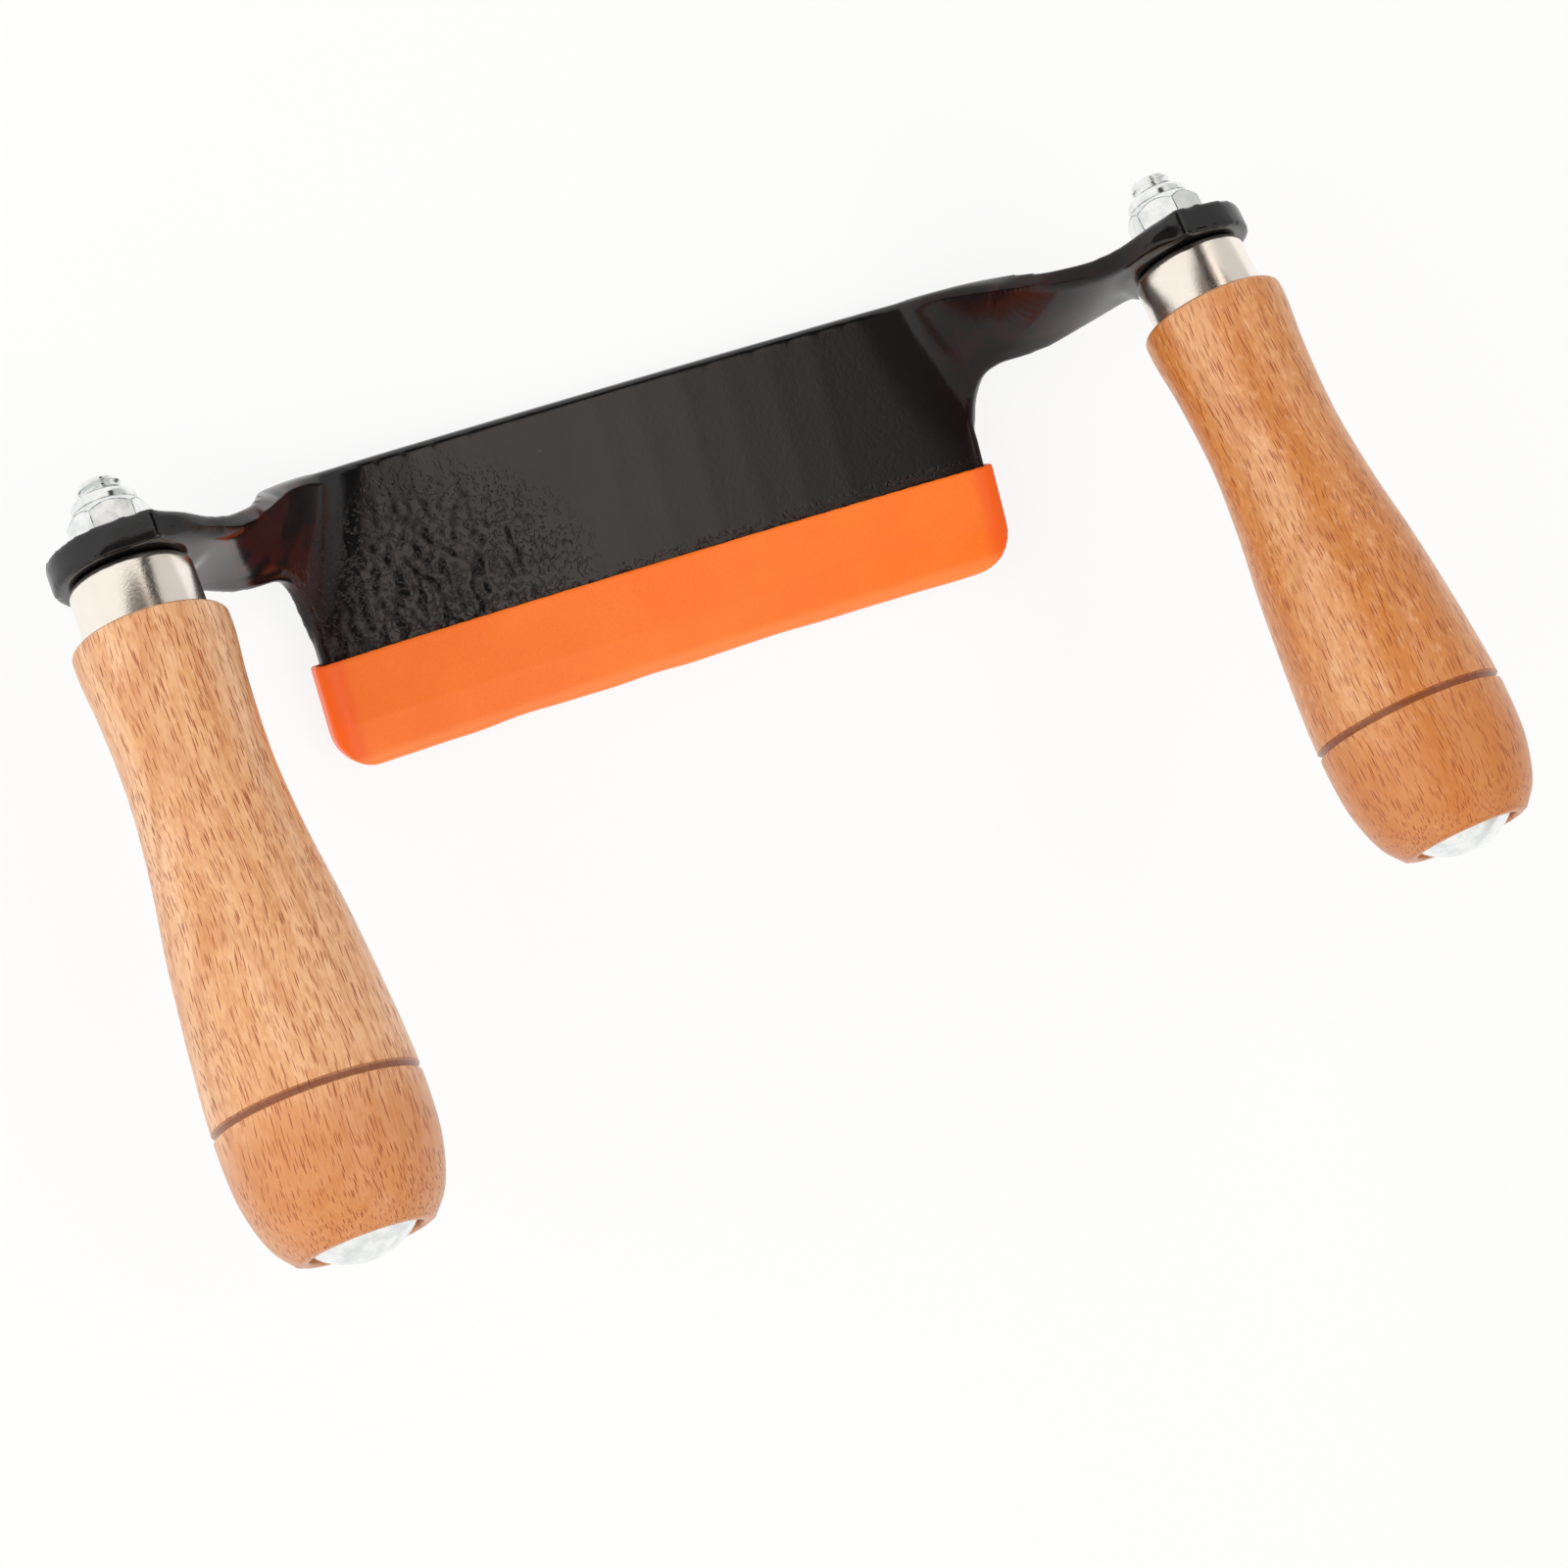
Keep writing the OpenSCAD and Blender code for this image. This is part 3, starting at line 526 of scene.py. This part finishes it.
    # The burnt groove, darkest in its floor, and the dark line where the wood meets the ferrule
    off = add(tree, "ShaderNodeMath", {0: along, 1: groove_at * mm}, operation="SUBTRACT")
    off = add(tree, "ShaderNodeMath", {0: off.outputs[0]}, operation="ABSOLUTE")
    burnt = add(tree, "ShaderNodeMapRange", {"Value": off.outputs[0], "From Min": 1.1 * groove_half * mm,
                                             "From Max": 0.5 * groove_half * mm, "To Max": 0.82})
    joint = add(tree, "ShaderNodeMapRange", {"Value": along, "From Min": (wood_top + 0.5) * mm,
                                             "From Max": (wood_top + 0.1) * mm, "To Max": 0.8})
    dark = add(tree, "ShaderNodeMath", {0: burnt.outputs[0], 1: joint.outputs[0]}, operation="MAXIMUM")
    # The tones lie over each other in this order, from the wood's streaks to the burn
    for share, tint in ((band, "#cb7f36"), (deep, "#c77a43"), (pale, "#f0c39b"), (rings, "#bd7136"),
                        (fibre_dark, "#b8692f"), (knob_painted_shade, "#c4742f"), (flecks, "#943a02"), (dark, "#6e2a06")):
        color = add(tree, "ShaderNodeMix", {0: share.outputs[0], 6: color.outputs[2], 7: paint(tint)},
                    data_type="RGBA")
    # The relief under the varnish: fibre, open flecks, and fine rings from the tool in the first 6 mm
    height = add(tree, "ShaderNodeMath", {0: flecks.outputs[0], 1: -0.8, 2: fibre.outputs[0]},
                 operation="MULTIPLY_ADD")
    bump = add(tree, "ShaderNodeBump", {"Height": height.outputs[0], "Strength": 0.3, "Distance": 0.00008})
    tool = add(tree, "ShaderNodeMath", {0: along, 1: 2 * math.pi / (0.55 * mm)}, operation="MULTIPLY")
    tool = add(tree, "ShaderNodeMath", {0: tool.outputs[0]}, operation="SINE")
    fade = add(tree, "ShaderNodeMapRange", {"Value": along, "From Min": (wood_top + 6) * mm,
                                            "From Max": (wood_top + 2) * mm})
    tool = add(tree, "ShaderNodeMath", {0: tool.outputs[0], 1: fade.outputs[0]}, operation="MULTIPLY")
    bump = add(tree, "ShaderNodeBump", {"Height": tool.outputs[0], "Strength": 0.25, "Distance": 0.00003,
                                        "Normal": bump.outputs[0]})
    rough = add(tree, "ShaderNodeMapRange", {"Value": fibre.outputs[0], "From Min": 0.3, "From Max": 0.7,
                                             "To Min": 0.38, "To Max": 0.5})
    surface = add(tree, "ShaderNodeBsdfPrincipled", {"Base Color": color.outputs[2], "Roughness": rough.outputs[0],
                                                     "Normal": bump.outputs[0], "Coat Weight": 0.4,
                                                     "Coat Roughness": 0.3})
    add(tree, "ShaderNodeOutputMaterial", {"Surface": surface.outputs[0]})
    return material


# Radii of the grip at shares of the wood's length, from the ferrule down
grip_at = [0, 0.045, 0.125, 0.25, 0.375, 0.5, 0.625, 0.75, 0.84, 0.9, 0.96, 1]
grip_radius = [13.9, 13.85, 13.05, 12.7, 13.75, 15.575, 16.95, 17.95, 17.95, 17.2, 15.1, 11.8]
fitted_radius = 10.15
shoulder_round = 1.2
seat_radius, seat_depth = 9.8, 1.2
shank_radius = 4.25


def handle_profile():
    """The grip's outline from the bore at the ferrule, over the swell and the groove, back to the bore."""
    grip = [(radius, wood_top + share * wood_len) for radius, share
            in zip(smooth_line(grip_radius, 10), smooth_line(grip_at, 10))]
    above = [(radius, z) for radius, z in grip if wood_top + shoulder_round < z < groove_at - groove_half]
    below = [(radius, z) for radius, z in grip if z > groove_at + groove_half][:-1]
    lip = (above[-1][0] + below[0][0]) / 2
    groove = [(lip - groove_depth * math.sqrt(1 - (k / 8) ** 2), groove_at + groove_half * k / 8)
              for k in range(-8, 9)]
    end = wood_top + wood_len
    return ([(shank_radius, -0.6), (fitted_radius - 0.5, -0.6), (fitted_radius, -0.1), (fitted_radius, wood_top)]
            + corner((grip_radius[0] - shoulder_round, wood_top + shoulder_round), shoulder_round, -90, -5)
            + above + groove + below
            + corner((10.9, end - 0.9), 0.9, 25, 90) + corner((seat_radius + 0.5, end - 0.5), 0.5, 90, 180)
            + [(seat_radius, end - seat_depth), (shank_radius, end - seat_depth), (shank_radius, -0.6)])


# Of each grip: its side, the turn and the place of its block, how streaky it is, and its palest wood
grain_of = {"left": (-1, 98, (0.013, 0.021, 0.05), 0.1, "#efc297"),
            "right": (1, 118, (0.034, 0.008, 0.31), 1.0, "#e3ab7a")}
for hand, (side, turn, shift, streak, pale_wood) in grain_of.items():
    grip = turned(handle_profile())
    bmesh.ops.transform(grip, matrix=at_handle(side), verts=grip.verts)
    grip = piece(grip, f"{hand}_turned_grip", beech(f"varnished_beech_{hand}", side, turn, shift, streak, pale_wood),
                 sharp=50)
    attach(grip, "knife")
    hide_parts(f"{hand}_handle")

# The ferrules: cups pressed from 0.8 mm steel sheet and nickel plated, pushed over the tenons. Their shoulders are
# rounded where the sheet was drawn. The plating is bright but grainy, like orange peel 0.4 mm across.
ferrule_radius, ferrule_sheet, ferrule_round = 11, 0.8, 1.7
ferrule_top = -1.7

nickel, tree = new_material("drawn_nickel_plate")
place = add(tree, "ShaderNodeTexCoord").outputs["Object"]
grit = add(tree, "ShaderNodeTexNoise", {"Vector": place, "Scale": 1000 / 0.35, "Detail": 2.0, "Roughness": 0.6})
cloud = add(tree, "ShaderNodeTexNoise", {"Vector": place, "Scale": 1000 / 5, "Detail": 2.0})
color = add(tree, "ShaderNodeMix", {0: cloud.outputs[0], 6: paint("#fff8ee"), 7: paint("#f6eee2")},
            data_type="RGBA")
rough = add(tree, "ShaderNodeMapRange", {"Value": grit.outputs[0], "From Min": 0.3, "From Max": 0.7,
                                         "To Min": 0.15, "To Max": 0.26})
bump = add(tree, "ShaderNodeBump", {"Height": grit.outputs[0], "Strength": 0.6, "Distance": 0.00003})
surface = add(tree, "ShaderNodeBsdfPrincipled", {"Base Color": color.outputs[2], "Metallic": 1.0,
                                                 "Roughness": rough.outputs[0], "Normal": bump.outputs[0]})
add(tree, "ShaderNodeOutputMaterial", {"Surface": surface.outputs[0]})

for hand, side in (("left", -1), ("right", 1)):
    inner = ferrule_radius - ferrule_sheet
    cup = turned([(shank_radius, ferrule_top)]
                 + corner((ferrule_radius - ferrule_round, ferrule_top + ferrule_round), ferrule_round, -90, 0, 10)
                 + corner((ferrule_radius - 0.2, wood_top - 0.2), 0.2, 0, 90, 3)
                 + corner((inner + 0.2, wood_top - 0.2), 0.2, 90, 180, 3)
                 + corner((inner - 0.9, ferrule_top + ferrule_sheet + 0.9), 0.9, 0, -90)
                 + [(shank_radius, ferrule_top + ferrule_sheet), (shank_radius, ferrule_top)])
    bmesh.ops.transform(cup, matrix=at_handle(side), verts=cup.verts)
    cup = piece(cup, f"{hand}_pressed_ferrule", nickel)
    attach(cup, "knife")
    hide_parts(f"{hand}_ferrule")

# The through bolts: M8 coach bolts, cold headed, rolled thread, bright zinc plated. The domed head and its square
# neck hold in the wood, and a short end of thread stands out of the nut. The zinc is nearly white, with the
# cloudy grey of the plating bath.
zinc, tree = new_material("bright_zinc_plate")
place = add(tree, "ShaderNodeTexCoord").outputs["Object"]
cloud = add(tree, "ShaderNodeTexNoise", {"Vector": place, "Scale": 1000 / 2.5, "Detail": 3.0})
cloud = add(tree, "ShaderNodeMapRange", {"Value": cloud.outputs[0], "From Min": 0.4, "From Max": 0.75})
color = add(tree, "ShaderNodeMix", {0: cloud.outputs[0], 6: paint("#f6f7f6"), 7: paint("#d9dfde")},
            data_type="RGBA")
grit = add(tree, "ShaderNodeTexNoise", {"Vector": place, "Scale": 1000 / 0.5, "Detail": 2.0})
rough = add(tree, "ShaderNodeMapRange", {"Value": cloud.outputs[0], "To Min": 0.16, "To Max": 0.3})
bump = add(tree, "ShaderNodeBump", {"Height": grit.outputs[0], "Strength": 0.4, "Distance": 0.000006})
surface = add(tree, "ShaderNodeBsdfPrincipled", {"Base Color": color.outputs[2], "Metallic": 1.0,
                                                 "Roughness": rough.outputs[0], "Normal": bump.outputs[0]})
add(tree, "ShaderNodeOutputMaterial", {"Surface": surface.outputs[0]})

bolt_radius, thread_pitch, thread_depth = 4.0, 1.25, 0.65
bolt_tip, bolt_chamfer, thread_end = -19.5, 0.8, -9
plain_radius = bolt_radius - 0.2
head_radius, head_rim, head_top = 9.0, 0.4, 123.4
neck_width, neck_depth = 8.0, 4.5


def cut_level(shape, height, keep_above):
    """Cuts a closed shape at a height, drops one side and closes the cut."""
    cut = bmesh.ops.bisect_plane(shape, geom=shape.verts[:] + shape.edges[:] + shape.faces[:],
                                 plane_co=(0, 0, height), plane_no=(0, 0, 1),
                                 clear_inner=keep_above, clear_outer=not keep_above)
    rim = [item for item in cut["geom_cut"] if isinstance(item, bmesh.types.BMEdge)]
    bmesh.ops.edgenet_fill(shape, edges=rim)


def rolled_thread(low, high, steps=48):
    """A real single-start thread: one tooth, wound up the bolt and joined to itself turn by turn."""
    root = bolt_radius - thread_depth
    tooth = [(root, 0), (root, 0.25), (bolt_radius, 0.56), (bolt_radius, 0.69), (root, 1)]
    shape = bmesh.new()
    points = [shape.verts.new((radius, 0, low + (share - 1) * thread_pitch)) for radius, share in tooth]
    edges = [shape.edges.new(pair) for pair in zip(points, points[1:])]
    turns = math.ceil((high - low) / thread_pitch) + 1
    bmesh.ops.spin(shape, geom=points + edges, cent=(0, 0, 0), axis=(0, 0, 1), dvec=(0, 0, thread_pitch / steps),
                   angle=2 * math.pi * turns, steps=steps * turns)
    bmesh.ops.remove_doubles(shape, verts=shape.verts, dist=0.005)
    cut_level(shape, low, keep_above=True)
    cut_level(shape, high, keep_above=False)
    for vertex in shape.verts:
        reach = math.hypot(vertex.co.x, vertex.co.y)
        allowed = bolt_radius - bolt_chamfer + vertex.co.z - low
        if reach > allowed:
            vertex.co.xy = vertex.co.xy * (allowed / reach)
    bmesh.ops.recalc_face_normals(shape, faces=shape.faces)
    return shape


def coach_bolt():
    """The thread, the plain shank, the square neck and the domed head."""
    seat = wood_top + wood_len - seat_depth
    bolt = rolled_thread(bolt_tip, thread_end)
    dome_height = head_top - seat - head_rim
    dome_radius = (head_radius ** 2 + dome_height ** 2) / (2 * dome_height)
    rim_angle = math.degrees(math.asin(head_radius / dome_radius))
    dome = corner((0, head_top - dome_radius), dome_radius, 90 - rim_angle, 90, 20)
    head = turned([(0, thread_end - 0.5), (plain_radius, thread_end - 0.5), (plain_radius, seat),
                   (head_radius - 0.2, seat), (head_radius, seat + 0.2)] + dome)
    neck = bmesh.new()
    bmesh.ops.create_cube(neck, size=1)
    bmesh.ops.scale(neck, vec=(neck_width, neck_width, neck_depth), verts=neck.verts)
    bmesh.ops.translate(neck, vec=(0, 0, seat + 0.1 - neck_depth / 2), verts=neck.verts)
    bmesh.ops.bevel(neck, geom=neck.edges[:], offset=0.5, segments=3, profile=0.5, affect="EDGES", material=-1)
    for part in (head, neck):
        scrap = bpy.data.meshes.new("scrap")
        part.to_mesh(scrap)
        part.free()
        bolt.from_mesh(scrap)
        bpy.data.meshes.remove(scrap)
    return bolt


for hand, side in (("left", -1), ("right", 1)):
    bolt = coach_bolt()
    bmesh.ops.transform(bolt, matrix=at_handle(side), verts=bolt.verts)
    bolt = piece(bolt, f"{hand}_coach_bolt", zinc, sharp=25)
    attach(bolt, "knife")
    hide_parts(f"{hand}_bolt")

# The nuts: M8 self-locking nuts, cold forged in zinc-plated steel. A rounded collar above the hexagon is rolled
# over a natural nylon ring that grips the thread. Cones cut both ends of the hexagon, so its flats end in arches.
# A darker, mottled grey is painted on the narrow bevels along the nut's edges
edge_grey, tree = new_material("zinc_darker_grey_on_the_edge_bevels")
place = add(tree, "ShaderNodeTexCoord").outputs["Object"]
edge_mottle = add(tree, "ShaderNodeTexNoise", {"Vector": place, "Scale": 1000 / 0.9, "Detail": 2.0})
edge_mottle = add(tree, "ShaderNodeMapRange", {"Value": edge_mottle.outputs[0], "From Min": 0.4, "From Max": 0.6})
color = add(tree, "ShaderNodeMix", {0: edge_mottle.outputs[0], 6: paint("#7d8584"), 7: paint("#c3caca")},
            data_type="RGBA")
surface = add(tree, "ShaderNodeBsdfPrincipled", {"Base Color": color.outputs[2], "Metallic": 1.0,
                                                 "Roughness": 0.35})
add(tree, "ShaderNodeOutputMaterial", {"Surface": surface.outputs[0]})

nut_flats, nut_bore = 13.0, 4.1
nut_low, nut_high, blank_radius = -7.3, -14.3, 7
collar_radius, collar_top, collar_round = 5.9, -16.5, 1.3
mouth_radius = 4.3
cone_slope = math.tan(math.radians(50))
nut_turn = {"left": 0, "right": 36}


def forged_nut():
    """A round blank whose wall is pressed to six flats; each ring of it ends where the cone meets the flat."""
    blank = turned([(nut_bore, nut_low), (collar_radius, nut_low), (blank_radius, nut_low - 1),
                    (blank_radius, nut_high + 1), (collar_radius, nut_high),
                    (collar_radius, collar_top + collar_round)]
                   + corner((collar_radius - collar_round, collar_top + collar_round), collar_round, 0, -90, 8)[1:]
                   + [(mouth_radius, collar_top + 0.1), (mouth_radius, collar_top + 0.5),
                      (nut_bore, collar_top + 2.7), (nut_bore, nut_low)], steps=180)
    for vertex in blank.verts:
        reach = math.hypot(vertex.co.x, vertex.co.y)
        if reach > 6.5:
            angle = math.atan2(vertex.co.y, vertex.co.x) % math.radians(60) - math.radians(30)
            wall = nut_flats / 2 / math.cos(angle)
            vertex.co.xy = vertex.co.xy * (wall / reach)
            drop = (wall - collar_radius) * cone_slope
            upper = abs(vertex.co.z - nut_high) < 1.5
            vertex.co.z = nut_high + drop if upper else nut_low - drop
    return blank


for hand, side in (("left", -1), ("right", 1)):
    nut = forged_nut()
    place_of_nut = at_handle(side) @ Matrix.Rotation(math.radians(nut_turn[hand]), 4, "Z")
    bmesh.ops.transform(nut, matrix=place_of_nut, verts=nut.verts)
    nut = piece(nut, f"{hand}_lock_nut", zinc, sharp=22)
    nut.data.materials.append(edge_grey)
    edges = nut.modifiers.new("edges", "BEVEL")
    edges.width = 0.13 * mm
    edges.segments = 2
    edges.material = 1
    edges.limit_method = "ANGLE"
    edges.angle_limit = math.radians(22)
    settled(nut)
    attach(nut, "knife")
    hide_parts(f"{hand}_nut")

# The nylon rings: natural nylon, a little see-through and faintly blue. Each lies in the rolled collar of its nut,
# and the bolt has pressed its thread into the bore.
nylon, tree = new_material("natural_nylon")
place = add(tree, "ShaderNodeTexCoord").outputs["Object"]
milk = add(tree, "ShaderNodeTexNoise", {"Vector": place, "Scale": 1000 / 1.5, "Detail": 2.0})
color = add(tree, "ShaderNodeMix", {0: milk.outputs[0], 6: paint("#e6ebee"), 7: paint("#cfd9df")},
            data_type="RGBA")
bump = add(tree, "ShaderNodeBump", {"Height": milk.outputs[0], "Strength": 0.3, "Distance": 0.00004})
surface = add(tree, "ShaderNodeBsdfPrincipled", {"Base Color": color.outputs[2], "Roughness": 0.38,
                                                 "Subsurface Weight": 0.3, "Subsurface Radius": (0.8, 0.9, 1.0),
                                                 "Subsurface Scale": 0.001, "Normal": bump.outputs[0]})
add(tree, "ShaderNodeOutputMaterial", {"Surface": surface.outputs[0]})

ring_bore, ring_radius, ring_round = 4.08, 4.9, 0.2
ring_low, ring_high = -13.85, -15.95

for hand, side in (("left", -1), ("right", 1)):
    ring = turned([(ring_bore, ring_low)] + corner((ring_radius, ring_low - ring_round), ring_round, 90, 0, 3)
                  + corner((ring_radius, ring_high + ring_round), ring_round, 0, -90, 3)
                  + [(4.3, ring_high), (ring_bore, ring_high + 0.25), (ring_bore, ring_low)], steps=96)
    bmesh.ops.transform(ring, matrix=at_handle(side), verts=ring.verts)
    ring = piece(ring, f"{hand}_locking_ring", nylon)
    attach(ring, "knife")
    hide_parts(f"{hand}_nut_ring")

# The edge guard: a soft vinyl cap, made by dipping a plate and pulling the skin off. Its ends are half round where
# the vinyl flowed, its lower edge is a little wavy where it ran before it set, and it sits slightly askew.
guard_low, guard_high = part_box("edge_guard")
guard_end = guard_high[0] / mm
guard_bottom = guard_low[1] / mm
guard_middle_y = (guard_bottom + rim_y) / 2
bow_radius, bow_low = 450.0, 3.35
askew = math.radians(-0.3)
end_round, end_thinning = 4, 0.55

vinyl, tree = new_material("dipped_orange_vinyl")
place = add(tree, "ShaderNodeTexCoord").outputs["Object"]
cloud = add(tree, "ShaderNodeTexNoise", {"Vector": place, "Scale": 1000 / 14, "Detail": 2.0})
cloud = add(tree, "ShaderNodeMapRange", {"Value": cloud.outputs[0], "From Min": 0.35, "From Max": 0.65})
color = add(tree, "ShaderNodeMix", {0: cloud.outputs[0], 6: paint("#ff7a10"), 7: paint("#fc7304")},
            data_type="RGBA")
grain = add(tree, "ShaderNodeTexNoise", {"Vector": place, "Scale": 1000 / 0.5, "Detail": 3.0})
grain_dark = add(tree, "ShaderNodeMapRange", {"Value": grain.outputs[0], "From Min": 0.45, "From Max": 0.75,
                                              "To Max": 0.3})
# The vinyl is painted deeper orange round the ends, as painted shade where the surface curves away, and paler along
# the lower edge, as a painted highlight
parts = add(tree, "ShaderNodeSeparateXYZ", {0: place})
outward = add(tree, "ShaderNodeMath", {0: parts.outputs["X"]}, operation="ABSOLUTE")
end_painted_shade = add(tree, "ShaderNodeMapRange", {"Value": outward.outputs[0], "From Min": (guard_end - 6.5) * mm,
                                         "From Max": (guard_end - 3.5) * mm, "To Max": 0.9},
            interpolation_type="SMOOTHSTEP")
lower_edge_painted_highlight = add(tree, "ShaderNodeMapRange", {"Value": parts.outputs["Y"], "From Min": (guard_bottom + 3.5) * mm,
                                        "From Max": (guard_bottom + 1.5) * mm, "To Max": 0.5},
           interpolation_type="SMOOTHSTEP")
for share, tint in ((grain_dark, "#ee5c0c"), (end_painted_shade, "#f85f00"), (lower_edge_painted_highlight, "#ff954c")):
    color = add(tree, "ShaderNodeMix", {0: share.outputs[0], 6: color.outputs[2], 7: paint(tint)},
                data_type="RGBA")
flow = add(tree, "ShaderNodeTexNoise", {"Vector": place, "Scale": 1000 / 7, "Detail": 1.0})
flow_bump = add(tree, "ShaderNodeBump", {"Height": flow.outputs[0], "Strength": 0.4, "Distance": 0.00015})
bump = add(tree, "ShaderNodeBump", {"Height": grain.outputs[0], "Strength": 0.25, "Distance": 0.00002,
                                    "Normal": flow_bump.outputs[0]})
rough = add(tree, "ShaderNodeMapRange", {"Value": grain.outputs[0], "From Min": 0.3, "From Max": 0.7,
                                         "To Min": 0.3, "To Max": 0.4})
surface = add(tree, "ShaderNodeBsdfPrincipled", {"Base Color": color.outputs[2], "Roughness": rough.outputs[0],
                                                 "Normal": bump.outputs[0]})
add(tree, "ShaderNodeOutputMaterial", {"Surface": surface.outputs[0]})

guard = reskinned("edge_guard", "dipped_edge_guard", vinyl, 0.4, 4)
for vertex in guard.data.vertices:
    x, y, z = vertex.co / mm
    # The ends, rounded across their thickness
    past_end = min(1.0, max(0.0, (abs(x) - guard_end + end_round) / end_round))
    middle = bow_low + bow_radius * (1 - math.cos(x / bow_radius))
    z = middle + (z - middle) * math.sqrt(1 - end_thinning * past_end ** 2)
    # The runs of vinyl along the lower edge
    low_share = 1 - ramp(y, guard_bottom, guard_bottom + 4)
    wave = 0.12 * math.sin(x / 4.1) + 0.05 * math.sin(x / 2.3 + 1) + 0.12 * math.sin(x / 9 + 2)
    y -= low_share * wave * (1 - ramp(x, -10, 40) * 0.6)
    # The tilt on the blade, with the rim's left end pulled up a little more
    y += ramp(y, rim_y - 7, rim_y) * 0.35 * (1 - ramp(x, -guard_end, 10))
    turned_x = x * math.cos(askew) - (y - guard_middle_y) * math.sin(askew) - 0.4
    turned_y = x * math.sin(askew) + (y - guard_middle_y) * math.cos(askew) + guard_middle_y - 0.1
    vertex.co = Vector((turned_x, turned_y, z)) * mm
guard.data.update()
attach(guard, "guard")
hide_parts("edge_guard")
